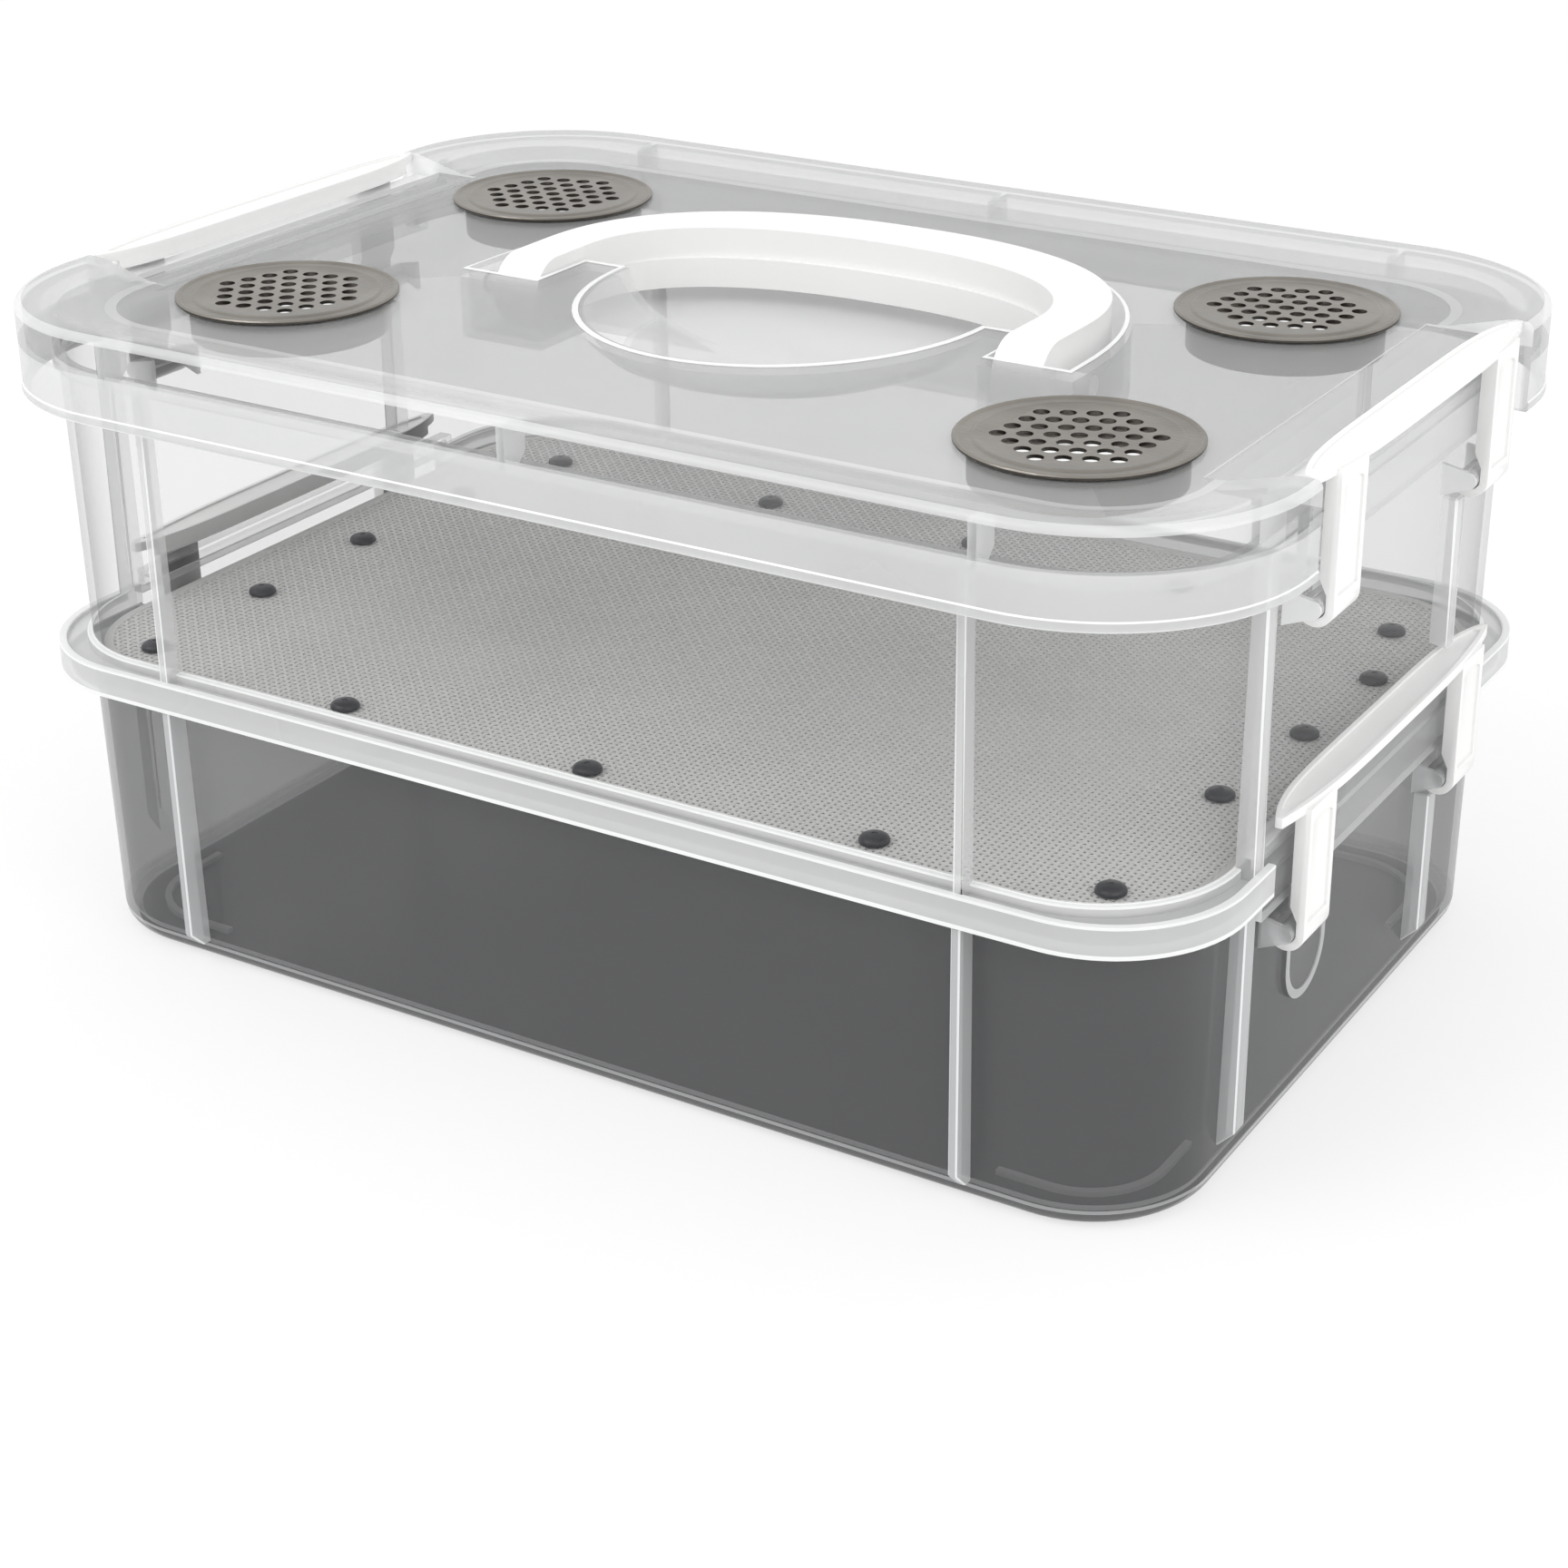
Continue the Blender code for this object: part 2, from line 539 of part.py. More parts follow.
def build_lower_box(material):
    """The deep tub that everything stands on."""
    edge_centre = (LOWER_WALL_FOOT - LOWER_EDGE, LOWER_EDGE)
    inner_edge = LOWER_EDGE - LOWER_THICKNESS
    inner_centre = (edge_centre[0], LOWER_FLOOR + inner_edge)
    rim_out = LOWER_WALL_TOP + LOWER_RIM_WIDTH
    rim_bottom = LOWER_TOP - LOWER_RIM_DEPTH
    outside = quarter_arc(edge_centre, LOWER_EDGE, -math.pi / 2, EDGE_STEPS)
    outside.append((LOWER_WALL_TOP, rim_bottom))
    inside = [(LOWER_WALL_TOP - LOWER_THICKNESS, LOWER_TOP)]
    inside += reversed(quarter_arc(inner_centre, inner_edge, -math.pi / 2, EDGE_STEPS))
    rings = rings_of(outside, LOWER_WALL_FOOT, LOWER_CORNER)
    rings += rings_of([(rim_out, rim_bottom), (rim_out, LOWER_TOP)], FLANGE_HALF, FLANGE_CORNER)
    rings += rings_of(inside, LOWER_WALL_FOOT, LOWER_CORNER)
    box = loft("lower_box", rings)
    notch = rectangle(LOWER_PANEL_HALF - PANEL_THICKNESS - GAP, rim_out + OVERRUN, FLANGE_BOTTOM, UPPER_TOP)
    cuts = [wall_prism(f"rim_{wall}", wall, notch, -RIM_NOTCH_HALF, RIM_NOTCH_HALF) for wall in ("right", "left")]
    combine(box, cuts, "DIFFERENCE")
    rib_top = FLANGE_BOTTOM - GAP
    hook_bottom = LOWER_PIVOT_Z - HOOK_OUTER - RIB_CLEARANCE
    tools = front_ribs("lower_rib", LOWER_WALL_FOOT, LOWER_RIB_OUT, LOWER_RIB_FOOT, rib_top, LOWER_RIB_SLANT)
    tools += side_ribs(
        "lower_side_front", LOWER_WALL_FOOT, SIDE_RIB_FRONT_Y, SIDE_RIB_FOOT, rib_top, SIDE_RIB_RISE
    )
    tools += side_ribs(
        "lower_side_back", LOWER_WALL_FOOT, SIDE_RIB_BACK_Y, SIDE_RIB_FOOT, hook_bottom, SIDE_RIB_RISE
    )
    tools += hinge_bars("lower_hinge", LOWER_PIVOT_X, LOWER_PIVOT_Z, LOWER_WALL_FOOT)
    tools += loop_ribs(LOWER_WALL_FOOT)
    tools += floor_beads()
    combine(box, tools, "UNION")
    return finish(box, material)


def rivet_places():
    """Rivet centres on the mesh panel, as (x, y)."""
    half_width = MESH_HALF - LENGTH_OVER_WIDTH
    return [(share_x * MESH_HALF, share_y * half_width) for share_x, share_y in RIVET_PLACE_SHARES]


def rivet_holes(prefix, bottom, top):
    """One cutter for every rivet hole between two heights."""
    tools = []
    for index, (x, y) in enumerate(rivet_places()):
        offset = Vector((x, y, 0))
        ring = [point + offset for point in circle_ring(RIVET_SHANK_RADIUS + GAP, RIVET_SIDES, bottom)]
        tools.append(prism(f"{prefix}_{index}", ring, Vector((0, 0, top - bottom))))
    return tools


def build_upper_box(material, parent):
    """The upper tub: its floor is a ledge round a wide opening, and its flange sleeves the lower box."""
    lip_inner = FLANGE_HALF - LIP_WIDTH
    groove_inner = UPPER_WALL_FOOT + BASE_RING_WIDTH
    groove = FLANGE_TOP - GROOVE_DEPTH
    bead_out = UPPER_WALL_TOP + UPPER_BEAD_WIDTH
    bead_bottom = UPPER_TOP - UPPER_BEAD_DEPTH
    skirt_inner = FLANGE_HALF - FLANGE_WALL
    lip = [
        (FLANGE_HALF, FLANGE_BOTTOM),
        (FLANGE_HALF, FLANGE_TOP),
        (lip_inner, FLANGE_TOP),
        (lip_inner, groove),
    ]
    wall = [
        (groove_inner, groove),
        (groove_inner, BASE_RING_TOP),
        (UPPER_WALL_FOOT, BASE_RING_TOP),
        (UPPER_WALL_TOP, bead_bottom),
        (bead_out, bead_bottom),
        (bead_out, UPPER_TOP),
        (UPPER_WALL_TOP - UPPER_THICKNESS, UPPER_TOP),
        (UPPER_WALL_FOOT - UPPER_THICKNESS, LEDGE_TOP),
    ]
    rings = rings_of(lip, FLANGE_HALF, FLANGE_CORNER)
    rings += rings_of(wall, UPPER_WALL_FOOT, UPPER_CORNER)
    rings.append(rounded_ring(LEDGE_INNER_HALF, LEDGE_INNER_CORNER, LEDGE_TOP))
    rings.append(rounded_ring(LEDGE_INNER_HALF, LEDGE_INNER_CORNER, SEAT_BOTTOM))
    skirt = [(skirt_inner, SEAT_BOTTOM), (skirt_inner, FLANGE_BOTTOM)]
    rings += rings_of(skirt, FLANGE_HALF, FLANGE_CORNER)
    box = loft("upper_box", rings, closed=True)
    clear = rectangle(LOWER_PANEL_HALF, FLANGE_HALF + OVERRUN, FLANGE_BOTTOM - OVERRUN, FLANGE_TOP + OVERRUN)
    cuts = [wall_prism(f"flange_{wall}", wall, clear, -NOTCH_HALF, NOTCH_HALF) for wall in ("right", "left")]
    cuts += rivet_holes("ledge_hole", SEAT_BOTTOM - OVERRUN, LEDGE_TOP + OVERRUN)
    combine(box, cuts, "DIFFERENCE")
    panel_inner = LOWER_PANEL_HALF - PANEL_THICKNESS
    catch_root = UPPER_WALL_FOOT - EMBED
    catch_bottom = LOWER_CATCH_TOP - PANEL_THICKNESS
    panel = [
        (panel_inner, LOWER_PANEL_BOTTOM),
        (LOWER_PANEL_HALF, LOWER_PANEL_BOTTOM),
        (LOWER_PANEL_HALF, LOWER_CATCH_TOP),
        (catch_root, LOWER_CATCH_TOP),
        (catch_root, catch_bottom),
        (panel_inner, catch_bottom),
    ]
    panel_half = NOTCH_HALF + NOTCH_WALL / 2
    tools = [wall_prism(f"catch_{wall}", wall, panel, -panel_half, panel_half) for wall in ("right", "left")]
    tools += front_ribs("upper_rib", UPPER_WALL_FOOT, UPPER_RIB_OUT, groove - EMBED, bead_bottom + EMBED, 0)
    tools += side_ribs(
        "upper_side_front", UPPER_WALL_FOOT, SIDE_RIB_FRONT_Y, groove - EMBED, bead_bottom + EMBED, 0
    )
    back_top = UPPER_PIVOT_Z - HOOK_OUTER - RIB_CLEARANCE
    back_bottom = LOWER_PIVOT_Z + LATCH_TOP + CATCH_CLEARANCE
    tools += side_ribs("upper_side_back", UPPER_WALL_FOOT, SIDE_RIB_BACK_Y, back_bottom, back_top, 0)
    tools += hinge_bars("upper_hinge", UPPER_PIVOT_X, UPPER_PIVOT_Z, UPPER_WALL_FOOT)
    combine(box, tools, "UNION")
    return finish(box, material, parent)


def build_mesh_floor(material, parent):
    """The woven panel: a plate on the ledge, open between its strands over the floor opening."""
    ring = rounded_ring(MESH_HALF, MESH_CORNER, MESH_BOTTOM)
    panel = prism("mesh_floor", ring, Vector((0, 0, MESH_THICKNESS)))
    field_half = LEDGE_INNER_HALF - MESH_BORDER
    field_width = field_half - LENGTH_OVER_WIDTH
    pitch_x = 2 * field_half / MESH_COLUMNS
    pitch_y = 2 * field_width / MESH_ROWS
    gap_x = pitch_x - MESH_STRAND
    gap_y = pitch_y - MESH_STRAND
    low = MESH_BOTTOM - OVERRUN
    shape = bmesh.new()
    for column in range(MESH_COLUMNS):
        for row in range(MESH_ROWS):
            x = pitch_x * (column + HALF_STEP_SHARE) - field_half
            y = pitch_y * (row + HALF_STEP_SHARE) - field_width
            centre = Vector((x, y, low + OVERRUN + MESH_THICKNESS / 2))
            size = Matrix.Diagonal((gap_x, gap_y, 2 * OVERRUN, 1))
            bmesh.ops.create_cube(shape, size=1, matrix=Matrix.Translation(centre) @ size)
    gaps = new_object("mesh_gaps", mesh_from_bmesh("mesh_gaps", shape))
    combine(panel, [gaps], "DIFFERENCE")
    combine(panel, rivet_holes("mesh_hole", low, MESH_TOP + OVERRUN), "DIFFERENCE")
    return finish(panel, material, parent)


def build_rivets(material, parent):
    """The push rivets: domed head on the mesh, shank through both layers, and a spread tail under the ledge."""
    seat = GAP
    tail = SEAT_BOTTOM - GAP - MESH_TOP
    profile = [
        (RIVET_HEAD_RADIUS * RIVET_CROWN_SHARE, seat + RIVET_HEAD_RISE),
        (RIVET_HEAD_RADIUS, seat + RIVET_HEAD_RISE * RIVET_CROWN_SHARE),
        (RIVET_HEAD_RADIUS, seat),
        (RIVET_SHANK_RADIUS, seat),
        (RIVET_SHANK_RADIUS, tail),
        (RIVET_TAIL_RADIUS, tail),
        (RIVET_SHANK_RADIUS, tail - RIVET_TAIL_DEPTH),
    ]
    pattern = loft("rivet", [circle_ring(radius, RIVET_SIDES, height) for radius, height in profile])
    mesh = pattern.data
    bpy.data.objects.remove(pattern)
    for index, (x, y) in enumerate(rivet_places(), start=1):
        rivet = new_object(f"floor_rivet_{index:02d}", mesh)
        rivet.location = (x, y, MESH_TOP)
        finish(rivet, material, parent)


def superellipse(half_width, reach, steps):
    """Points (x, y) of the back half of a squared ellipse, from +x over the back to -x."""
    points = []
    for step in range(steps + 1):
        angle = math.pi * step / steps
        across = math.copysign(abs(math.cos(angle)) ** (2 / WELL_POWER), math.cos(angle))
        points.append((half_width * across, reach * abs(math.sin(angle)) ** (2 / WELL_POWER)))
    return points


def well_ring(grow, opening, height):
    """The handle well's outline at one height: D shape, leg slots, cheeks and finger bowl."""
    points = [Vector((WELL_HALF_WIDTH + grow, WELL_FRONT_Y - grow, height))]
    for x, y in superellipse(WELL_HALF_WIDTH + grow, WELL_BACK_REACH + grow, WELL_STEPS):
        points.append(Vector((x, WELL_CENTRE_Y + y, height)))
    slot = SLOT_INNER_X - grow
    cheek = CHEEK_BACK_Y - grow
    bowl_half = BOWL_HALF_WIDTH * opening + grow
    bowl_reach = BOWL_REACH * opening
    points.append(Vector((-WELL_HALF_WIDTH - grow, WELL_FRONT_Y - grow, height)))
    points.append(Vector((-slot, WELL_FRONT_Y - grow, height)))
    points.append(Vector((-slot, cheek, height)))
    for step in range(BOWL_STEPS + 1):
        angle = math.pi * step / BOWL_STEPS
        x = -bowl_half * math.cos(angle)
        y = cheek - bowl_reach * math.sin(angle)
        points.append(Vector((x, y, height)))
    points.append(Vector((slot, cheek, height)))
    points.append(Vector((slot, WELL_FRONT_Y - grow, height)))
    return points


def well_solid(name, grow, bottom, top):
    """The well's hollow, or with grow the solid that leaves its walls, between two heights."""
    depth = LID_PLATE_TOP - WELL_FLOOR
    rings = [well_ring(grow, BOWL_SHARES[0][1], bottom)]
    for height_share, opening_share in BOWL_SHARES[1:-1]:
        rings.append(well_ring(grow, opening_share, WELL_FLOOR + depth * height_share))
    rings.append(well_ring(grow, BOWL_SHARES[-1][1], top))
    return loft(name, rings)


def gusset_tools():
    """The stiffening plates between the lid's skirt and its seat ring, on both long sides."""
    skirt = LID_HALF - LID_HEM_STEP - LENGTH_OVER_WIDTH - LID_THICKNESS + EMBED
    ring = SEAT_RING_OUTER_HALF - LENGTH_OVER_WIDTH - EMBED
    top = LID_TOP - LID_THICKNESS + EMBED
    inner_top = LID_PLATE_TOP + LID_THICKNESS
    profile = [
        (skirt, GUSSET_BOTTOM),
        (ring + GUSSET_CHAMFER, GUSSET_BOTTOM),
        (ring, GUSSET_BOTTOM + GUSSET_CHAMFER),
        (ring, inner_top),
        (skirt, top),
    ]
    tools = []
    for wall in ("front", "back"):
        for place in (-GUSSET_PLACE, 0, GUSSET_PLACE):
            low = place - GUSSET_WIDTH / 2
            high = place + GUSSET_WIDTH / 2
            tools.append(wall_prism(f"gusset_{wall}_{place}", wall, profile, low, high))
    return tools


def notch_cuts():
    """The clearance for both upper latches, through the rim band and the skirt."""
    out = LID_HALF + OVERRUN
    above = LID_TOP + OVERRUN
    below = LID_BOTTOM - OVERRUN
    profile = rectangle(NOTCH_INNER, out, below, above)
    return [wall_prism(f"notch_{wall}", wall, profile, -NOTCH_HALF, NOTCH_HALF) for wall in ("right", "left")]


def notch_walls():
    """The flat beds beside the plate, the latch grooves, the recessed panels and the walls at their ends."""
    panel_inner = LID_PANEL_OUT - PANEL_THICKNESS
    floor_top = NOTCH_FLOOR + EMBED
    floor_bottom = NOTCH_FLOOR - PANEL_THICKNESS
    bed_bottom = LATCH_BED_TOP - LATCH_BED_THICKNESS
    step_low = LATCH_GROOVE_INNER - LATCH_BED_EDGE
    step_high = LATCH_GROOVE_INNER + EMBED
    panel = [
        (panel_inner, LID_BOTTOM),
        (LID_PANEL_OUT, LID_BOTTOM),
        (LID_PANEL_OUT, floor_top),
        (step_high, floor_top),
        (step_high, LID_PLATE_TOP),
        (LID_PLATE_HALF - EMBED, LID_PLATE_TOP - EMBED / 2),
        (LID_PLATE_HALF - EMBED, bed_bottom),
        (step_low, bed_bottom),
        (step_low, floor_bottom),
        (panel_inner, floor_bottom),
    ]
    skirt_middle = LID_HALF - LID_HEM_STEP - LID_THICKNESS / 2
    side_return = rectangle(panel_inner, skirt_middle, LID_BOTTOM, LID_TOP - LID_THICKNESS / 2)
    bed_end = [
        (LID_PLATE_HALF + EMBED, bed_bottom),
        (LID_BAND_INNER_HALF, bed_bottom),
        (LID_BAND_INNER_HALF, LID_TOP - EMBED),
        (LID_PLATE_HALF + EMBED, LID_PLATE_TOP - EMBED),
    ]
    tools = []
    for wall in ("right", "left"):
        half = NOTCH_HALF + NOTCH_WALL / 2
        tools.append(wall_prism(f"panel_{wall}", wall, panel, -half, half))
        for side in (1, -1):
            low = side * NOTCH_HALF
            high = side * (NOTCH_HALF + NOTCH_WALL)
            tools.append(wall_prism(f"return_{wall}_{side}", wall, side_return, low, high))
            tools.append(wall_prism(f"bed_end_{wall}_{side}", wall, bed_end, low, high))
    return tools


def latch_beds():
    """The clearance over the flat beds and the latch grooves, down from the rim band."""
    out = LID_HALF + OVERRUN
    above = LID_TOP + OVERRUN
    profile = [
        (LATCH_BED_INNER, LATCH_BED_TOP),
        (LATCH_GROOVE_INNER, LATCH_BED_TOP),
        (LATCH_GROOVE_INNER, NOTCH_FLOOR),
        (out, NOTCH_FLOOR),
        (out, above),
        (LATCH_BED_INNER, above),
    ]
    return [wall_prism(f"latch_bed_{wall}", wall, profile, -NOTCH_HALF, NOTCH_HALF) for wall in ("right", "left")]


def vent_places():
    """Grille names with their centres on the lid."""
    return {
        "vent_front_left": (-VENT_X, -VENT_Y),
        "vent_front_right": (VENT_X, -VENT_Y),
        "vent_back_left": (-VENT_X, VENT_Y),
        "vent_back_right": (VENT_X, VENT_Y),
    }


def build_lid(material, parent):
    """The lid: skirt, raised rim band, recessed plate, seat ring, handle well and latch notches."""
    skirt = LID_HALF - LID_HEM_STEP
    hem_top = LID_BOTTOM + LID_HEM_DEPTH
    skirt_inner = skirt - LID_THICKNESS
    edge = quarter_arc((skirt - LID_EDGE, LID_TOP - LID_EDGE), LID_EDGE, 0, EDGE_STEPS)
    profile = [(LID_HALF, LID_BOTTOM), (LID_HALF, hem_top), (skirt, hem_top + LID_HEM_STEP)]
    profile += edge
    profile += [(LID_BAND_INNER_HALF, LID_TOP), (LID_PLATE_HALF, LID_PLATE_TOP)]
    under = [
        (LID_PLATE_HALF, LID_PLATE_TOP - LID_THICKNESS),
        (LID_BAND_INNER_HALF, LID_TOP - LID_THICKNESS),
        (skirt_inner, LID_TOP - LID_THICKNESS),
        (skirt_inner, LID_BOTTOM),
    ]
    rings = rings_of(list(reversed(profile)), LID_HALF, LID_CORNER)
    rings += rings_of(list(reversed(under)), LID_HALF, LID_CORNER)
    lid = loft("lid", rings)
    combine(lid, notch_cuts(), "DIFFERENCE")
    ring_inner = SEAT_RING_OUTER_HALF - SEAT_RING_WALL
    ring_bottom = UPPER_TOP + GAP
    ring_top = ring_bottom + SEAT_RING_ROOT
    seat = [
        (ring_inner, ring_bottom),
        (SEAT_RING_OUTER_HALF, ring_bottom),
        (SEAT_RING_OUTER_HALF, ring_top),
        (ring_inner, ring_top),
    ]
    tools = [loft("seat_ring", rings_of(seat, UPPER_WALL_FOOT, UPPER_CORNER), closed=True)]
    tools += notch_walls()
    tools += gusset_tools()
    tools.append(well_solid("well_walls", WELL_WALL, WELL_FLOOR - WELL_WALL, LID_PLATE_TOP - EMBED))
    combine(lid, tools, "UNION")
    cuts = [well_solid("well_hollow", 0, WELL_FLOOR, LID_PLATE_TOP + OVERRUN)]
    cuts += latch_beds()
    for side in (1, -1):
        turns = [2 * math.pi * index / PIN_SIDES for index in range(PIN_SIDES)]
        radius = PIN_RADIUS + GAP
        start = side * (HANDLE_OUTER_HALF + GAP)
        ring = [
            Vector((start, HANDLE_PIVOT_Y + radius * math.cos(turn), HANDLE_PIVOT_Z + radius * math.sin(turn)))
            for turn in turns
        ]
        travel = Vector((side * (WELL_HALF_WIDTH + WELL_WALL + OVERRUN - HANDLE_OUTER_HALF), 0, 0))
        cuts.append(prism(f"pin_hole_{side}", ring, travel))
    for name, (x, y) in vent_places().items():
        ring = circle_ring(VENT_BARREL_RADIUS + GAP, VENT_SIDES, LID_PLATE_TOP - LID_THICKNESS - OVERRUN)
        shifted = [point + Vector((x, y, 0)) for point in ring]
        cuts.append(prism(f"{name}_hole", shifted, Vector((0, 0, LID_THICKNESS + 2 * OVERRUN))))
    combine(lid, cuts, "DIFFERENCE")
    return finish(lid, material, parent)


def arch_outline(outer_reach, inner_reach, height):
    """The handle's plan: two straight legs and an arch, about its own hinge axis."""
    start = HANDLE_STRAIGHT
    outer = [(HANDLE_OUTER_HALF, 0)]
    outer += [(x, start + y) for x, y in superellipse(HANDLE_OUTER_HALF, outer_reach, HANDLE_STEPS)]
    outer.append((-HANDLE_OUTER_HALF, 0))
    inner = [(HANDLE_INNER_HALF, 0)]
    inner += [(x, start + y) for x, y in superellipse(HANDLE_INNER_HALF, inner_reach, HANDLE_STEPS)]
    inner.append((-HANDLE_INNER_HALF, 0))
    return [Vector((x, y, height)) for x, y in outer + inner[::-1]]


def build_handle(material, parent):
    """The carry handle, about its hinge axis through both pins."""
    top = HANDLE_LEG_RADIUS
    step = top - HANDLE_STEP_DOWN
    bottom = top - HANDLE_HEIGHT
    upper = arch_outline(HANDLE_OUTER_REACH, HANDLE_INNER_REACH, step)
    lower = arch_outline(HANDLE_OUTER_REACH, HANDLE_INNER_REACH - HANDLE_STEP_IN, bottom)
    handle = prism("carry_handle", upper, Vector((0, 0, top - step)))
    tools = [prism("handle_lower", lower, Vector((0, 0, step - bottom + EMBED)))]
    for side in (1, -1):
        turns = [2 * math.pi * index / LEG_STEPS for index in range(LEG_STEPS)]
        ring = [
            Vector((side * HANDLE_INNER_HALF, top * math.cos(turn), top * math.sin(turn))) for turn in turns
        ]
        travel = Vector((side * (HANDLE_OUTER_HALF - HANDLE_INNER_HALF), 0, 0))
        tools.append(prism(f"leg_end_{side}", ring, travel))
        turns = [2 * math.pi * index / PIN_SIDES for index in range(PIN_SIDES)]
        ring = [
            Vector((side * HANDLE_INNER_HALF, PIN_RADIUS * math.cos(turn), PIN_RADIUS * math.sin(turn)))
            for turn in turns
        ]
        travel = Vector((side * (WELL_HALF_WIDTH + WELL_WALL - PIN_SHORT - HANDLE_INNER_HALF), 0, 0))
        tools.append(prism(f"pin_{side}", ring, travel))
    combine(handle, tools, "UNION")
    handle.location = (0, HANDLE_PIVOT_Y, HANDLE_PIVOT_Z)
    return finish(handle, material, parent)


def vent_mesh():
    """One round grille: flange, pierced disc and barrel, about the centre of its seat on the lid."""
    seat = GAP
    top = seat + VENT_FLANGE_DEPTH
    profile = [
        (VENT_FLANGE_RADIUS - VENT_EDGE, top),
        (VENT_FLANGE_RADIUS, top - VENT_EDGE),
        (VENT_FLANGE_RADIUS, seat),
        (VENT_BARREL_RADIUS, seat),
        (VENT_BARREL_RADIUS, -VENT_BARREL_DEPTH),
        (VENT_BARREL_RADIUS - VENT_BARREL_WALL, -VENT_BARREL_DEPTH),
        (VENT_BARREL_RADIUS - VENT_BARREL_WALL, seat),
    ]
    grille = loft("grille", [circle_ring(radius, VENT_SIDES, height) for radius, height in profile])
    row_pitch = VENT_PITCH * math.sin(math.pi / 3)
    shape = bmesh.new()
    for row in range(-VENT_RINGS, VENT_RINGS + 1):
        count = 2 * VENT_RINGS + 1 - abs(row)
        for index in range(count):
            x = VENT_PITCH * (index - (count - 1) / 2)
            centre = Vector((x, row * row_pitch, top))
            bmesh.ops.create_cone(
                shape,
                cap_ends=True,
                segments=VENT_HOLE_SIDES,
                radius1=VENT_HOLE_RADIUS,
                radius2=VENT_HOLE_RADIUS,
                depth=2 * OVERRUN,
                matrix=Matrix.Translation(centre),
            )
    holes = new_object("grille_holes", mesh_from_bmesh("grille_holes", shape))
    combine(grille, [holes], "DIFFERENCE")
    mesh = grille.data
    bpy.data.objects.remove(grille)
    return mesh


def build_vents(material, parent):
    """Four equal grilles, each pushed in at its own turn."""
    mesh = vent_mesh()
    for name, (x, y) in vent_places().items():
        vent = new_object(name, mesh)
        vent.location = (x, y, LID_PLATE_TOP)
        vent.rotation_euler.z = VENT_TURNS[name]
        finish(vent, material, parent)


def flange_edge(reach, tip, power, share):
    """How far out one edge of the latch's flange lies at a share of its half length."""
    return reach + (tip - reach) * abs(share) ** power


def latch_mesh():
    """One latch about its hinge axis along Y, outward +X: lens-shaped flange and its lip, two straps and hooks."""
    shares = [2 * index / LATCH_FLANGE_STEPS - 1 for index in range(LATCH_FLANGE_STEPS + 1)]
    inner_edge = [
        (flange_edge(-LATCH_FLANGE_INNER, -LATCH_TIP_INNER, LATCH_INNER_POWER, share), LATCH_HALF * share)
        for share in shares
    ]
    outer_edge = [
        (flange_edge(LATCH_FLANGE_OUTER, LATCH_TIP_OUTER, LATCH_OUTER_POWER, share), LATCH_HALF * share)
        for share in shares
    ]
    outline = [Vector((x, y, FLANGE_UNDERSIDE)) for x, y in outer_edge + inner_edge[::-1]]
    latch = prism("latch", outline, Vector((0, 0, LATCH_FLANGE_DEPTH)))
    lip_half = LATCH_HALF * LATCH_LIP_SHARE
    lip_edge = [(x, y) for x, y in inner_edge if abs(y) < lip_half]
    lip_points = lip_edge + [(x + LATCH_LIP_WALL, y) for x, y in lip_edge[::-1]]
    lip = [Vector((x, y, LIP_BOTTOM)) for x, y in lip_points]
    tools = [prism("lip", lip, Vector((0, 0, LATCH_LIP_DEPTH + EMBED)))]
    shoulder = HOOK_INNER + STRAP_SHOULDER_RISE
    outer = [(STRAP_OUTER, LATCH_TOP - LATCH_FLANGE_DEPTH / 2)]
    inner = []
    for step in range(HOOK_STEPS + 1):
        angle = -math.pi * step / HOOK_STEPS
        outer.append((HOOK_OUTER * math.cos(angle), HOOK_OUTER * math.sin(angle)))
        inner.append((HOOK_INNER * math.cos(angle), HOOK_INNER * math.sin(angle)))
    profile = outer + inner[::-1]
    profile.append((HOOK_INNER, shoulder - STRAP_SHOULDER_RISE / 2))
    profile.append((STRAP_INNER, shoulder + STRAP_SHOULDER))
    profile.append((STRAP_INNER, LATCH_TOP - LATCH_FLANGE_DEPTH / 2))
    for side in (1, -1):
        points = [Vector((x, side * LEG_LOW, z)) for x, z in profile]
        tools.append(prism(f"strap_{side}", points, Vector((0, side * (LEG_HIGH - LEG_LOW), 0))))
    combine(latch, tools, "UNION")
    mesh = latch.data
    bpy.data.objects.remove(latch)
    return mesh


def build_latches(material, lower_box, upper_box):
    """Four equal latches: each hooks on a bar of the tier below and closes over the tier above."""
    mesh = latch_mesh()
    tiers = {
        "lower": (lower_box, LOWER_PIVOT_X, LOWER_PIVOT_Z),
        "upper": (upper_box, UPPER_PIVOT_X, UPPER_PIVOT_Z),
    }
    for tier, (parent, pivot_x, pivot_z) in tiers.items():
        for side, turn in (("right", 0), ("left", math.pi)):
            latch = new_object(f"{tier}_latch_{side}", mesh)
            latch.location = (pivot_x * math.cos(turn), 0, pivot_z)
            latch.rotation_euler.z = turn
            finish(latch, material, parent)


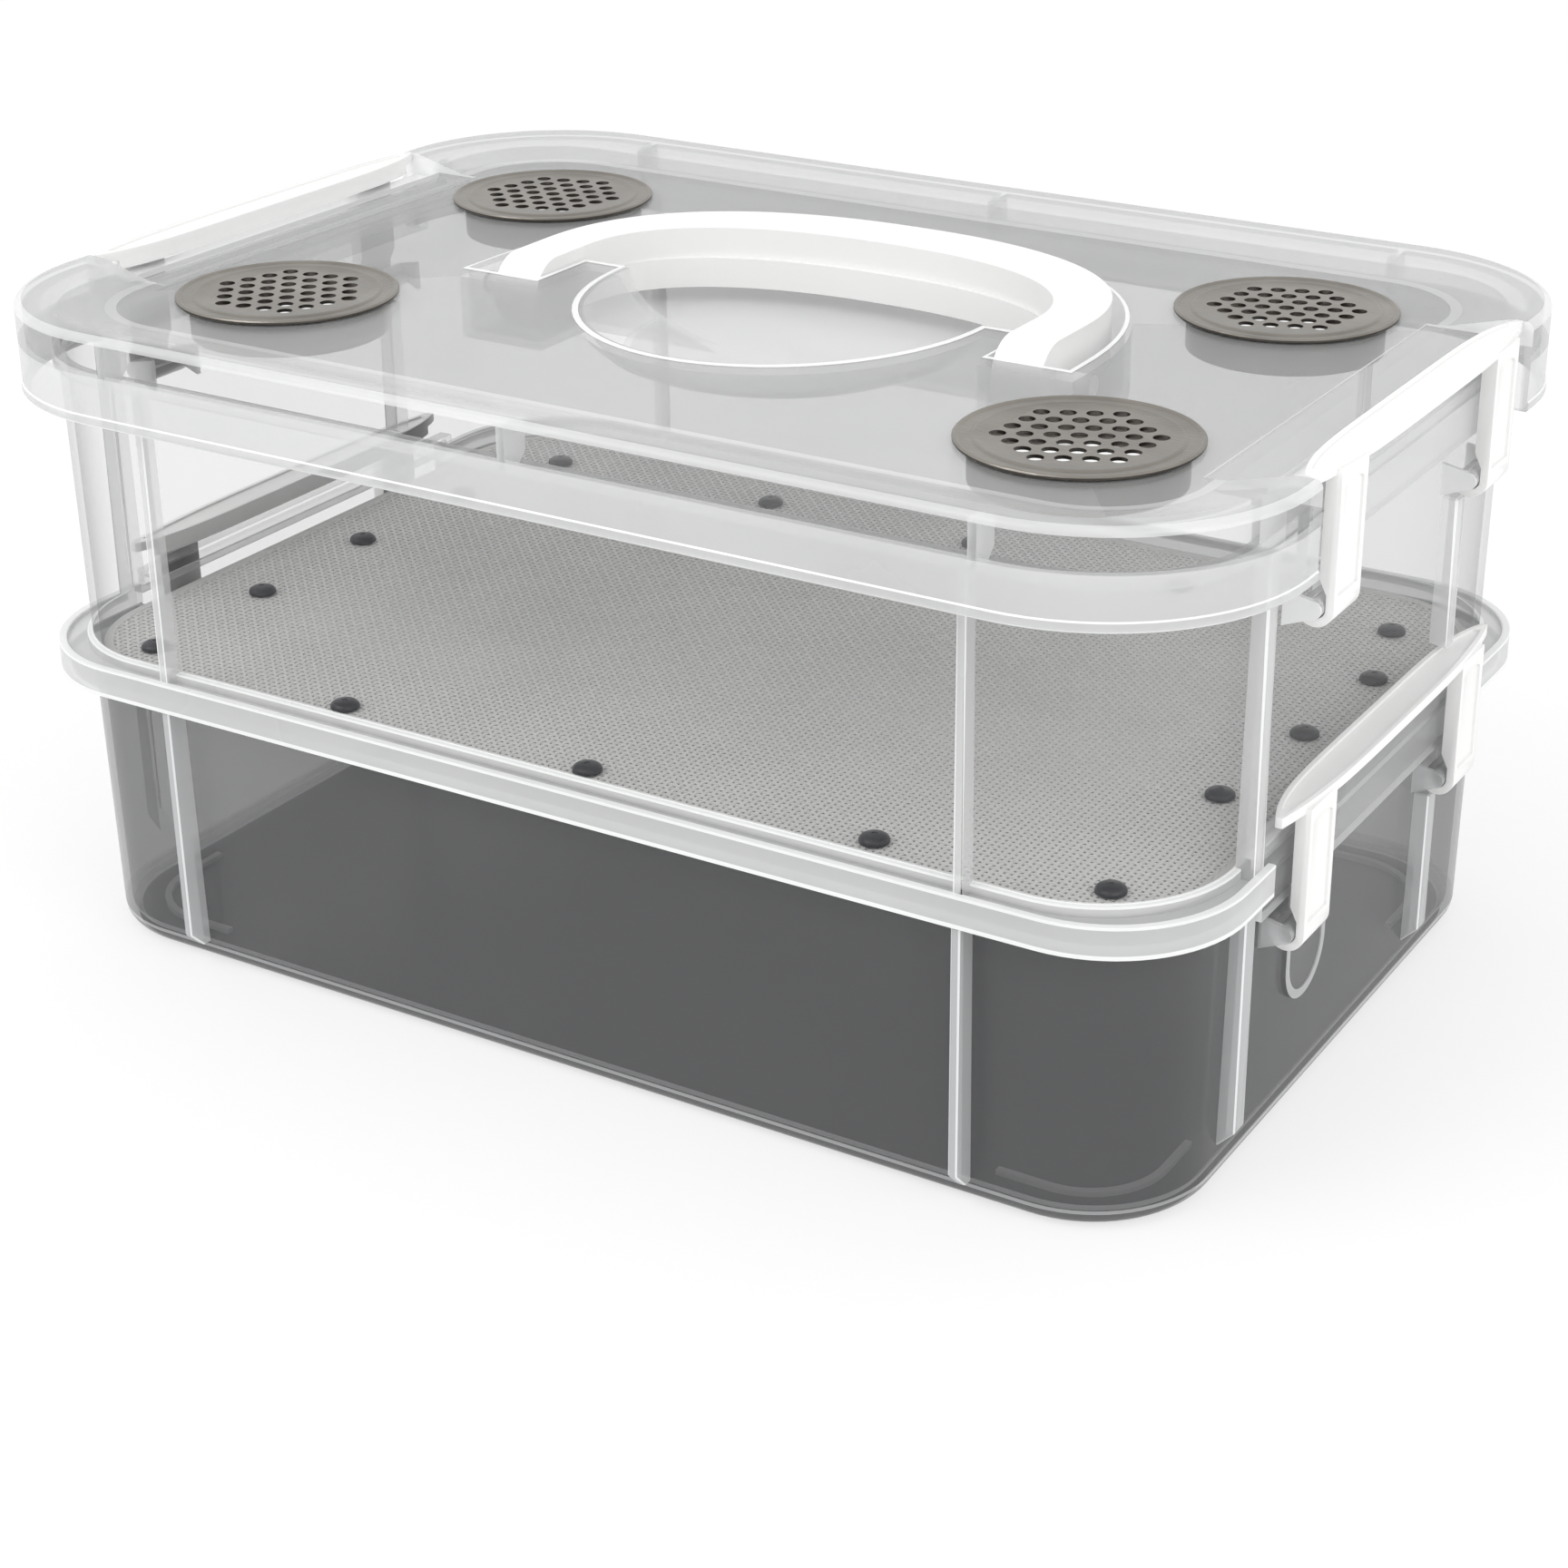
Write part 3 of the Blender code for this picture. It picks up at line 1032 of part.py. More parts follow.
def main():
    """Builds every piece in its closed, resting place."""
    clear_scene()
    smoky = make_material("smoky_plastic", (0.36, 0.37, 0.38), 0.15, alpha=0.45)
    clear = make_material("clear_plastic", (0.80, 0.81, 0.80), 0.25, alpha=0.45)
    white = make_material("white_plastic", (0.90, 0.90, 0.89), 0.30)
    woven = make_material("woven_mesh", (0.52, 0.52, 0.51), 0.70)
    black = make_material("black_plastic", (0.04, 0.04, 0.045), 0.40)
    steel = make_material("stainless_steel", (0.46, 0.43, 0.40), 0.35, metallic=1.0)
    lower_box = build_lower_box(smoky)
    upper_box = build_upper_box(clear, lower_box)
    build_mesh_floor(woven, upper_box)
    build_rivets(black, upper_box)
    lid = build_lid(clear, upper_box)
    build_handle(white, lid)
    build_vents(steel, lid)
    build_latches(white, lower_box, upper_box)


main()
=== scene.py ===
"""Dresses the cricket keeper box: clear tubs and lid, woven floor, steel grilles, white latches and handle.

Metres, +Z up, origin at the centre of the underside, +X along the long side and -Y towards the front.
"""

import logging
import math
from collections.abc import Callable, Sequence
from dataclasses import dataclass, field
from enum import Enum
from typing import NamedTuple
import bmesh
import bpy
from mathutils import Matrix, Vector


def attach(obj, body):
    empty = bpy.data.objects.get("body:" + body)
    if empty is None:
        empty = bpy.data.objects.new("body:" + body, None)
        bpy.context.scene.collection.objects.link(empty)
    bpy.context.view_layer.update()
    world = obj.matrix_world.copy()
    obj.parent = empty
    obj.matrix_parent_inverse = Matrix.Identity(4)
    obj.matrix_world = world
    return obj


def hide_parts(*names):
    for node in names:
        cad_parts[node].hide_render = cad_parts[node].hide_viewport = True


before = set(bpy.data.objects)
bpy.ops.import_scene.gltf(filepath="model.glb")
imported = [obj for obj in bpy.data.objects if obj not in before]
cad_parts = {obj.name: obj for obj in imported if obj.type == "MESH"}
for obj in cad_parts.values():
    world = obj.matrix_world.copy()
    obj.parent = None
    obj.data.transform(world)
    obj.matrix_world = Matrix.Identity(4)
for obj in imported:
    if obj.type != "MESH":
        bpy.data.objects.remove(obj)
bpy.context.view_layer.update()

log = logging.getLogger("keeper_box")

Colour = tuple[float, float, float]
Point2 = tuple[float, float]

# The play round a piece that moves or fits, in metres.
GAP = 0.0003
# How deep a piece is sunk in what carries it, so that the two join cleanly.
EMBED = 0.0008
# How far a cutter passes the wall that it opens.
OVERRUN = 0.004
# How far a panel laps past the sides of its notch.
SIDE_LAP = 0.001
# How near a face's middle is to a plane or an edge that it lies on.
NEAR = 0.0001
# From here on a normal's part along an axis means that the face looks along it.
ON_AXIS = 0.9
# The least and most that a bevel's normal has along an axis.
SLANT = (0.3, 0.95)
# The refraction of every moulded plastic.
PLASTIC_IOR = 1.49
# The span of the cloud pattern that turns into smudges, and the depth of the grain in metres.
SMUDGE_SPAN = (0.35, 0.70)
GRAIN_DEPTH = 0.0004


class Look(NamedTuple):
    """How hazy and how pale one face of a moulding is, both from 0 to 1."""

    haze: float
    paleness: float


Rule = Callable[[Vector, Vector], Look]


class Looks:
    """The looks of the mouldings by name, from clear and dark to hazy and pale, painted highlights and
    painted shade among them.
    """

    # Painted highlights: bright lines on rounded edges, hem steps and rib bevels; the upper tub's hinge bars
    # take the same look as their own pale colour.
    HIGHLIGHT_AND_PALE = Look(0.85, 1.0)
    # Painted highlights on whole faces: the top of the well's bead, the tops and end walls at the latch beds,
    # and the gussets.
    FACE_HIGHLIGHT = Look(0.80, 1.0)
    RIB = Look(0.46, 0.84)
    # Painted shade: the lower tub's clear walls and its floor are tinted dark for the shade under the woven
    # floor.
    LOWER_WALL_SHADE = Look(0.35, 0.10)
    LOWER_FLOOR_SHADE = Look(0.90, 0.07)
    LOWER_RIM = Look(0.45, 0.75)
    LOWER_DETAIL = Look(0.40, 0.92)
    FLOOR_BEAD = Look(0.65, 0.70)
    FOOT_EDGE = Look(0.50, 0.12)
    FOOT_LINE = Look(0.50, 0.62)
    TONGUE = Look(0.15, 0.40)
    UPPER_WALL = Look(0.03, 0.10)
    UPPER_DETAIL = Look(0.34, 0.92)
    UPPER_TOP = Look(0.50, 0.85)
    CATCH_PANEL = Look(0.14, 0.55)
    LEDGE = Look(0.30, 0.50)
    FLANGE = Look(0.58, 0.80)
    PLATE = Look(0.40, 0.34)
    # Painted highlight on the slope between the plate and the rim band.
    PLATE_EDGE_HIGHLIGHT = Look(0.50, 0.66)
    BAND = Look(0.46, 0.56)
    # Painted highlight on the rounded outer edge of the rim band.
    BAND_EDGE_HIGHLIGHT = Look(0.58, 0.85)
    LATCH_BED = Look(0.42, 0.44)
    LATCH_GROOVE = Look(0.75, 1.0)
    SKIRT = Look(0.50, 0.78)
    SKIRT_CLEAR = Look(0.07, 0.45)
    INNER_LOW = Look(0.20, 0.66)
    INNER_HIGH = Look(0.06, 0.40)
    WELL_WALL = Look(0.26, 0.80)
    WELL_FLOOR = Look(0.40, 0.68)


class Wall(Enum):
    """The four walls: the direction that each faces, and the direction along it."""

    RIGHT = (Vector((1, 0, 0)), Vector((0, 1, 0)))
    LEFT = (Vector((-1, 0, 0)), Vector((0, 1, 0)))
    FRONT = (Vector((0, -1, 0)), Vector((1, 0, 0)))
    BACK = (Vector((0, 1, 0)), Vector((1, 0, 0)))


LONG_WALLS = (Wall.FRONT, Wall.BACK)
SHORT_WALLS = (Wall.RIGHT, Wall.LEFT)


class Join(Enum):
    """The two ways in which one solid meets another."""

    ADD = "UNION"
    CUT = "DIFFERENCE"


class Run(Enum):
    """The direction of one set of wires in the woven floor."""

    LENGTHWISE = 0
    CROSSWISE = 1


@dataclass(frozen=True)
class Plan:
    """Places and sizes that several pieces share."""

    length_over_width: float = 0.0568
    corner_steps: int = 18
    lower_foot: float = 0.1715
    lower_corner: float = 0.0335
    flange_half: float = 0.1794
    flange_corner: float = 0.0365
    flange_bottom: float = 0.0792
    seat_bottom: float = 0.0820
    ledge_top: float = 0.0840
    upper_foot: float = 0.1726
    upper_corner: float = 0.0360
    upper_top: float = 0.1701
    mesh_bottom: float = 0.0843
    mesh_top: float = 0.0851
    mesh_half: float = 0.1699
    mesh_corner: float = 0.0333
    lid_top: float = 0.1845
    plate_top: float = 0.1800
    upper_pivot: Point2 = (0.1805, 0.1492)
    lower_pivot: Point2 = (0.1785, 0.0640)
    bar_radius: float = 0.0023
    leg_low: float = 0.0430
    leg_high: float = 0.0590
    notch_half: float = 0.0700
    panel_thickness: float = 0.0020
    catch_panel_out: float = 0.1770
    latch_top: float = 0.0356
    flange_depth: float = 0.0027
    flange_reach: float = 0.0052
    lip_depth: float = 0.0025
    strap_inner: float = 0.0007
    catch_clearance: float = 0.0016
    hook_outer: float = 0.0047
    front_rib_x: float = 0.1217
    front_rib_width: float = 0.0025
    front_rib_bevel: float = 0.0004
    side_rib_front: float = -0.0756
    side_rib_back: float = 0.0470
    side_rib_width: float = 0.0058
    side_rib_rise: float = 0.0048
    side_rib_bevel: float = 0.0007
    rib_clearance: float = 0.0015
    rib_from: Point2 = (0.1168, 0.1738)
    front_rib_near: float = 0.0022
    side_rib_share: float = 0.6
    handle_half: float = 0.0855
    handle_pivot: Point2 = (-0.0040, 0.1733)
    pin_radius: float = 0.0030
    vent_place: Point2 = (0.1200, 0.0610)
    barrel_radius: float = 0.0265

    @property
    def catch_height(self) -> float:
        """The height of a latch's catch face above its hinge."""
        return self.latch_top - self.flange_depth - self.lip_depth - self.catch_clearance

    def ring(self, half: float, corner: float, height: float) -> list[Vector]:
        """A rounded rectangle at one height, its half width following its half length."""
        width = half - self.length_over_width
        points = []
        for quarter, (side_x, side_y) in enumerate(((1, 1), (-1, 1), (-1, -1), (1, -1))):
            centre = Vector((side_x * (half - corner), side_y * (width - corner), height))
            for step in range(self.corner_steps + 1):
                angle = math.pi / 2 * (quarter + step / self.corner_steps)
                points.append(centre + Vector((corner * math.cos(angle), corner * math.sin(angle), 0)))
        return points

    def rings(self, profile: Sequence[Point2], half: float, corner: float) -> list[list[Vector]]:
        """Rings for a profile of (half length, height), each corner following its own half length."""
        return [self.ring(out, corner + out - half, height) for out, height in profile]

    def reach(self, spot: Vector, half: float, corner: float) -> float:
        """The half length of the rounded rectangle of one family that passes through a point."""
        core = half - corner
        out_x, out_y = abs(spot.x) - core, abs(spot.y) - core + self.length_over_width
        return core + (math.hypot(out_x, out_y) if min(out_x, out_y) > 0 else max(out_x, out_y))


PLAN = Plan()


def rounded(points: Sequence[Point2], radius: float, steps: int = 3) -> list[Point2]:
    """Softens the inner points of an open profile.

    Args:
        points: The profile's corners.
        radius: How far each rounding reaches along both of its sides.
        steps: Segments in each rounding.

    Returns:
        The profile with each inner corner drawn as a short curve.
    """
    result = [points[0]]
    for before, corner, after in zip(points, points[1:], points[2:]):
        middle = Vector(corner)
        back, ahead = Vector(before) - middle, Vector(after) - middle
        reach = min(radius, back.length * 0.45, ahead.length * 0.45)
        start, end = middle + back.normalized() * reach, middle + ahead.normalized() * reach
        for step in range(steps + 1):
            share = step / steps
            spot = start * (1 - share) ** 2 + middle * 2 * share * (1 - share) + end * share**2
            result.append((spot.x, spot.y))
    result.append(points[-1])
    return result


def quarter_arc(centre: Point2, radius: float, start: float, steps: int) -> list[Point2]:
    """Profile points a quarter turn round a centre, anticlockwise from the start angle."""
    turns = [start + math.pi / 2 * step / steps for step in range(steps + 1)]
    return [(centre[0] + radius * math.cos(turn), centre[1] + radius * math.sin(turn)) for turn in turns]


def circle(radius: float, sides: int, height: float) -> list[Vector]:
    """A circle about the Z axis at one height."""
    turns = [2 * math.pi * index / sides for index in range(sides)]
    return [Vector((radius * math.cos(turn), radius * math.sin(turn), height)) for turn in turns]


def squared_ellipse(half_width: float, reach: float, steps: int, power: float = 2.3) -> list[Point2]:
    """The back half of a squared ellipse, from +x over the back to -x."""
    points = []
    for step in range(steps + 1):
        angle = math.pi * step / steps
        across = math.copysign(abs(math.cos(angle)) ** (2 / power), math.cos(angle))
        points.append((half_width * across, reach * abs(math.sin(angle)) ** (2 / power)))
    return points


def new_object(name: str, mesh: bpy.types.Mesh) -> bpy.types.Object:
    """Links an object that shows the mesh."""
    item = bpy.data.objects.new(name, mesh)
    bpy.context.scene.collection.objects.link(item)
    return item


def object_of(name: str, shape: bmesh.types.BMesh) -> bpy.types.Object:
    """Turns a bmesh into an object whose faces point outward."""
    bmesh.ops.recalc_face_normals(shape, faces=shape.faces)
    mesh = bpy.data.meshes.new(name)
    shape.to_mesh(mesh)
    shape.free()
    return new_object(name, mesh)


def loft(name: str, rings: Sequence[Sequence[Vector]], closed: bool = False) -> bpy.types.Object:
    """A solid through rings of equally many points.

    Args:
        name: The object's name.
        rings: The rings, in order.
        closed: Whether the last ring meets the first, instead of both being capped.

    Returns:
        The object.
    """
    shape = bmesh.new()
    loops = [[shape.verts.new(point) for point in ring] for ring in rings]
    pairs = list(zip(loops, loops[1:]))
    if closed:
        pairs.append((loops[-1], loops[0]))
    else:
        shape.faces.new(loops[0])
        shape.faces.new(loops[-1])
    for first, second in pairs:
        count = len(first)
        for index in range(count):
            after = (index + 1) % count
            shape.faces.new((first[index], first[after], second[after], second[index]))
    return object_of(name, shape)


def prism(name: str, outline: Sequence[Vector], travel: Vector) -> bpy.types.Object:
    """A solid swept from a flat outline along the vector travel."""
    return loft(name, [outline, [point + travel for point in outline]])


def wall_prism(name: str, wall: Wall, profile: Sequence[Point2], low: float, high: float) -> bpy.types.Object:
    """A prism on one wall.

    Args:
        name: The object's name.
        wall: The wall that it stands on.
        profile: Its section, as (outward, height).
        low: Where it starts along the wall.
        high: Where it ends along the wall.

    Returns:
        The object.
    """
    outward, along = wall.value
    outline = [outward * out + along * low + Vector((0, 0, height)) for out, height in profile]
    return prism(name, outline, along * (high - low))


def block(out_low: float, out_high: float, bottom: float, top: float) -> list[Point2]:
    """The profile of a plain block for wall_prism."""
    return [(out_low, bottom), (out_high, bottom), (out_high, top), (out_low, top)]


def evaluated_mesh(item: bpy.types.Object) -> bpy.types.Mesh:
    """The object's mesh with its modifiers applied."""
    bpy.context.view_layer.update()
    graph = bpy.context.evaluated_depsgraph_get()
    return bpy.data.meshes.new_from_object(item.evaluated_get(graph))


def combine(target: bpy.types.Object, tools: Sequence[bpy.types.Object], join: Join) -> None:
    """Joins or cuts the target with each tool in turn, and removes the tools."""
    for tool in tools:
        modifier = target.modifiers.new(tool.name, "BOOLEAN")
        modifier.operation = join.value
        modifier.solver = "EXACT"
        modifier.object = tool
    mesh = evaluated_mesh(target)
    target.modifiers.clear()
    target.data = mesh
    for tool in tools:
        bpy.data.objects.remove(tool)


def soften_edges(target: bpy.types.Object, width: float, segments: int = 2) -> None:
    """Rounds every crease of a solid."""
    modifier = target.modifiers.new("soft_edges", "BEVEL")
    modifier.width = width
    modifier.segments = segments
    modifier.limit_method = "ANGLE"
    modifier.angle_limit = math.radians(40)
    mesh = evaluated_mesh(target)
    target.modifiers.clear()
    target.data = mesh


def place(item: bpy.types.Object, matrix: Matrix) -> None:
    """Moves the mesh itself, so that its object stays at the origin."""
    item.data.transform(matrix)
    item.data.update()


def paint(item: bpy.types.Object, rule: Rule) -> None:
    """Stores how hazy and how pale each face of a moulding is; the paleness also carries painted highlights
    and painted shade.

    Args:
        item: The moulding.
        rule: Gives (haze, paleness) for a face's centre and normal.
    """
    mesh = item.data
    haze = mesh.attributes.new("haze", "FLOAT", "FACE")
    paleness = mesh.attributes.new("paleness", "FLOAT", "FACE")
    for index, face in enumerate(mesh.polygons):
        haze.data[index].value, paleness.data[index].value = rule(face.center, face.normal)


def dress(item: bpy.types.Object, material: bpy.types.Material, sharp: float = 35) -> None:
    """Gives a finished piece its material and smooth shading."""
    item.data.name = item.name
    item.data.materials.clear()
    item.data.materials.append(material)
    item.data.shade_smooth()
    item.data.set_sharp_from_angle(angle=math.radians(sharp))


def mount(item: bpy.types.Object, body: str, nodes: Sequence[str]) -> None:
    """Hands a finished piece to the frame.

    Args:
        item: The piece.
        body: The body that it rides on.
        nodes: The nodes that it stands for.
    """
    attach(item, body)
    if nodes:
        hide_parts(*nodes)
    log.info("%s rides on %s: %d faces", item.name, body, len(item.data.polygons))


class Graph:
    """Adds nodes to one tree and links them."""

    def __init__(self, tree: bpy.types.NodeTree) -> None:
        """Starts on the tree."""
        self.tree = tree

    def add(self, kind: str, **settings: object) -> bpy.types.Node:
        """A new node with its settings."""
        node = self.tree.nodes.new(kind)
        for name, value in settings.items():
            setattr(node, name, value)
        return node

    def join(self, source: object, target: bpy.types.NodeSocket) -> None:
        """Links a socket to another, or sets a plain value on it."""
        if isinstance(source, bpy.types.NodeSocket):
            self.tree.links.new(source, target)
        else:
            target.default_value = source

    def math(self, operation: str, *values: object) -> bpy.types.NodeSocket:
        """The result of a Math node."""
        node = self.add("ShaderNodeMath", operation=operation)
        for index, value in enumerate(values):
            self.join(value, node.inputs[index])
        return node.outputs[0]

    def vector(self, operation: str, *values: object) -> bpy.types.Node:
        """A Vector Math node."""
        node = self.add("ShaderNodeVectorMath", operation=operation)
        for index, value in enumerate(values):
            self.join(value, node.inputs[index])
        return node

    def mix(self, factor: object, first: object, second: object) -> bpy.types.NodeSocket:
        """A blend of two colours."""
        node = self.add("ShaderNodeMix", data_type="RGBA")
        self.join(factor, node.inputs["Factor"])
        self.join(first, node.inputs["A"])
        self.join(second, node.inputs["B"])
        return next(socket for socket in node.outputs if socket.type == "RGBA")

    def noise(self, position: object, scale: object, detail: float = 2.0) -> bpy.types.NodeSocket:
        """A noise value at the position."""
        node = self.add("ShaderNodeTexNoise")
        self.join(position, node.inputs["Vector"])
        self.join(scale, node.inputs["Scale"])
        node.inputs["Detail"].default_value = detail
        return node.outputs["Fac"]


def surface_wear() -> bpy.types.ShaderNodeTree:
    """The handling marks and moulding grain that all the finishes share.

    Returns:
        A group with Smudge and Normal for a position.
    """
    tree = bpy.data.node_groups.new("surface_wear", "ShaderNodeTree")
    interface = tree.interface
    interface.new_socket("Position", in_out="INPUT", socket_type="NodeSocketVector")
    for name in ("Grain Scale", "Grain Depth", "Smudge Scale"):
        interface.new_socket(name, in_out="INPUT", socket_type="NodeSocketFloat")
    interface.new_socket("Smudge", in_out="OUTPUT", socket_type="NodeSocketFloat")
    interface.new_socket("Normal", in_out="OUTPUT", socket_type="NodeSocketVector")
    graph = Graph(tree)
    given = graph.add("NodeGroupInput").outputs
    grain = graph.noise(given["Position"], given["Grain Scale"], 3.0)
    bump = graph.add("ShaderNodeBump")
    bump.inputs["Distance"].default_value = GRAIN_DEPTH
    graph.join(given["Grain Depth"], bump.inputs["Strength"])
    graph.join(grain, bump.inputs["Height"])
    cloud = graph.noise(given["Position"], given["Smudge Scale"], 4.0)
    spread = graph.add("ShaderNodeMapRange")
    spread.inputs["From Min"].default_value = SMUDGE_SPAN[0]
    spread.inputs["From Max"].default_value = SMUDGE_SPAN[1]
    graph.join(cloud, spread.inputs["Value"])
    result = graph.add("NodeGroupOutput")
    graph.join(spread.outputs["Result"], result.inputs["Smudge"])
    graph.join(bump.outputs["Normal"], result.inputs["Normal"])
    return tree


@dataclass(frozen=True)
class Finish:
    """What every finish has: a colour, a gloss, a grain and a little wear."""

    name: str
    colour: Colour
    roughness: float
    grain_scale: float = 900.0
    grain_depth: float = 0.08
    smudge_scale: float = 14.0
    smudge_tone: float = 0.94
    smudge_roughness: float = 0.12

    def material(self, wear: bpy.types.ShaderNodeTree) -> bpy.types.Material:
        """The node material of this finish."""
        material = bpy.data.materials.new(self.name)
        material.use_nodes = True
        graph = Graph(material.node_tree)
        shader = material.node_tree.nodes["Principled BSDF"]
        place_node = graph.add("ShaderNodeTexCoord")
        position = self.position(graph, place_node.outputs["Object"])
        marks = graph.add("ShaderNodeGroup", node_tree=wear)
        graph.join(position, marks.inputs["Position"])
        marks.inputs["Grain Scale"].default_value = self.grain_scale
        marks.inputs["Grain Depth"].default_value = self.grain_depth
        marks.inputs["Smudge Scale"].default_value = self.smudge_scale
        tone = self.tone(graph, place_node.outputs["Object"])
        worn = graph.add("ShaderNodeMix", data_type="RGBA", blend_type="MULTIPLY")
        graph.join(marks.outputs["Smudge"], worn.inputs["Factor"])
        graph.join(tone, worn.inputs["A"])
        worn.inputs["B"].default_value = (self.smudge_tone, self.smudge_tone, self.smudge_tone, 1.0)
        colour = next(socket for socket in worn.outputs if socket.type == "RGBA")
        graph.join(colour, shader.inputs["Base Color"])
        gloss = graph.math("MULTIPLY_ADD", marks.outputs["Smudge"], self.smudge_roughness, self.roughness)
        graph.join(gloss, shader.inputs["Roughness"])
        graph.join(marks.outputs["Normal"], shader.inputs["Normal"])
        self.shade(graph, shader)
        return material

    def position(self, graph: Graph, place_socket: bpy.types.NodeSocket) -> bpy.types.NodeSocket:
        """Where the grain is read."""
        return place_socket

    def tone(self, graph: Graph, place_socket: bpy.types.NodeSocket) -> object:
        """The colour before wear."""
        return (*self.colour, 1.0)

    def shade(self, graph: Graph, shader: bpy.types.Node) -> None:
        """Settings of one kind of finish."""


@dataclass(frozen=True)
class MouldedPlastic(Finish):
    """See-through plastic: dark where it is clear or carries painted shade, pale where it is frosted or thick
    or carries a painted highlight.
    """

    dark: Colour = (0.05, 0.051, 0.054)
    grazing: float = 0.4

    def tone(self, graph: Graph, place_socket: bpy.types.NodeSocket) -> object:
        """From the dark tint to the pale one."""
        paleness = graph.add("ShaderNodeAttribute", attribute_name="paleness").outputs["Fac"]
        return graph.mix(paleness, (*self.dark, 1.0), (*self.colour, 1.0))

    def shade(self, graph: Graph, shader: bpy.types.Node) -> None:
        """Opacity from the haze, rising where the wall is seen edge on."""
        shader.inputs["IOR"].default_value = PLASTIC_IOR
        haze = graph.add("ShaderNodeAttribute", attribute_name="haze").outputs["Fac"]
        facing = graph.add("ShaderNodeLayerWeight").outputs["Facing"]
        edge = graph.math("MULTIPLY", graph.math("POWER", facing, 3.0), self.grazing)
        passed = graph.math("MULTIPLY", graph.math("SUBTRACT", 1.0, haze), graph.math("SUBTRACT", 1.0, edge))
        graph.join(graph.math("SUBTRACT", 1.0, passed), shader.inputs["Alpha"])


@dataclass(frozen=True)
class GlossPlastic(Finish):
    """Solid moulded plastic."""

    sheen: float = 0.2
    skin_roughness: float = 0.18

    def shade(self, graph: Graph, shader: bpy.types.Node) -> None:
        """A soft skin over the colour."""
        shader.inputs["IOR"].default_value = PLASTIC_IOR
        shader.inputs["Coat Weight"].default_value = self.sheen
        shader.inputs["Coat Roughness"].default_value = self.skin_roughness


@dataclass(frozen=True)
class BrushedSteel(Finish):
    """Stainless steel with a straight grain."""

    stretch: float = 0.06
    # The low end of the tone: the dull steel of the slow changes, and the painted shade in the holes and the
    # barrel.
    dark: Colour = (0.12, 0.11, 0.10)

    def position(self, graph: Graph, place_socket: bpy.types.NodeSocket) -> bpy.types.NodeSocket:
        """Draws the grain out along the long side."""
        mapping = graph.add("ShaderNodeMapping")
        mapping.inputs["Scale"].default_value = (self.stretch, 1.0, 1.0)
        graph.join(place_socket, mapping.inputs["Vector"])
        return mapping.outputs["Vector"]

    def tone(self, graph: Graph, place_socket: bpy.types.NodeSocket) -> object:
        """Slow changes between the bright and the dull steel, times the paleness attribute, which paints
        shade darkest inside the barrel.
        """
        paleness = graph.add("ShaderNodeAttribute", attribute_name="paleness").outputs["Fac"]
        cloud = graph.noise(place_socket, 60.0, 4.0)
        factor = graph.math("MULTIPLY", graph.math("ADD", cloud, 0.25), paleness)
        return graph.mix(factor, (*self.dark, 1.0), (*self.colour, 1.0))

    def shade(self, graph: Graph, shader: bpy.types.Node) -> None:
        """Metal throughout."""
        shader.inputs["Metallic"].default_value = 1.0


class Finishes:
    """The materials of the box, one for each finish."""

    def __init__(self) -> None:
        """Builds them once, all with the same wear group."""
        wear = surface_wear()
        self.clear = MouldedPlastic("clear_plastic", (0.93, 0.94, 0.935), 0.16).material(wear)
        # The lower tub's clear plastic, darkened by its painted shade.
        self.shade_darkened = MouldedPlastic("smoky_plastic", (0.90, 0.91, 0.92), 0.14).material(wear)
        self.white = GlossPlastic(
            "white_plastic", (0.87, 0.87, 0.862), 0.30, smudge_tone=0.975
        ).material(wear)
        self.black = GlossPlastic("black_plastic", (0.035, 0.036, 0.042), 0.38, 1400.0, 0.25).material(wear)
        self.steel = BrushedSteel("stainless_steel", (0.31, 0.29, 0.26), 0.30, 1600.0, 0.30).material(wear)
        self.woven = GlossPlastic(
            "woven_mesh", (0.68, 0.68, 0.67), 0.55, 1800.0, 0.35, 30.0, 0.95, sheen=0.05
        ).material(
            wear
        )


def hinge_bars(prefix: str, pivot: Point2, wall_out: float) -> list[bpy.types.Object]:
    """Bars and ears on both short sides, where the latch hooks turn.

    Args:
        prefix: The start of the tools' names.
        pivot: The hinge's (outward, height).
        wall_out: Where the wall's face is.

    Returns:
        The solids to join to the box.
    """
    radius, ear, rise = PLAN.bar_radius, 0.0015, 0.0034
    out, height = pivot
    root = wall_out - EMBED
    profile = [(root, height - radius - rise), (out, height - radius)]
    profile += quarter_arc(pivot, radius, -math.pi / 2, 5)[1:]
    profile += quarter_arc(pivot, radius, 0, 5)[1:]
    profile.append((root, height + radius + rise / 2))
    bar = quarter_arc(pivot, radius, 0, 5) + quarter_arc(pivot, radius, math.pi / 2, 5)[1:]
    bar += quarter_arc(pivot, radius, math.pi, 5)[1:] + quarter_arc(pivot, radius, math.pi * 1.5, 5)[1:-1]
    spans = ((PLAN.leg_low - GAP - ear, PLAN.leg_low - GAP), (PLAN.leg_high + GAP, PLAN.leg_high + GAP + ear))
    tools = []
    for wall in SHORT_WALLS:
        for side in (1, -1):
            name = f"{prefix}_{wall.name}_{side}"
            for index, (low, high) in enumerate(spans):
                tools.append(wall_prism(f"{name}_ear_{index}", wall, profile, side * low, side * high))
            reach = (PLAN.leg_low - GAP - ear / 2, PLAN.leg_high + GAP + ear / 2)
            tools.append(wall_prism(f"{name}_bar", wall, bar, side * reach[0], side * reach[1]))
    return tools


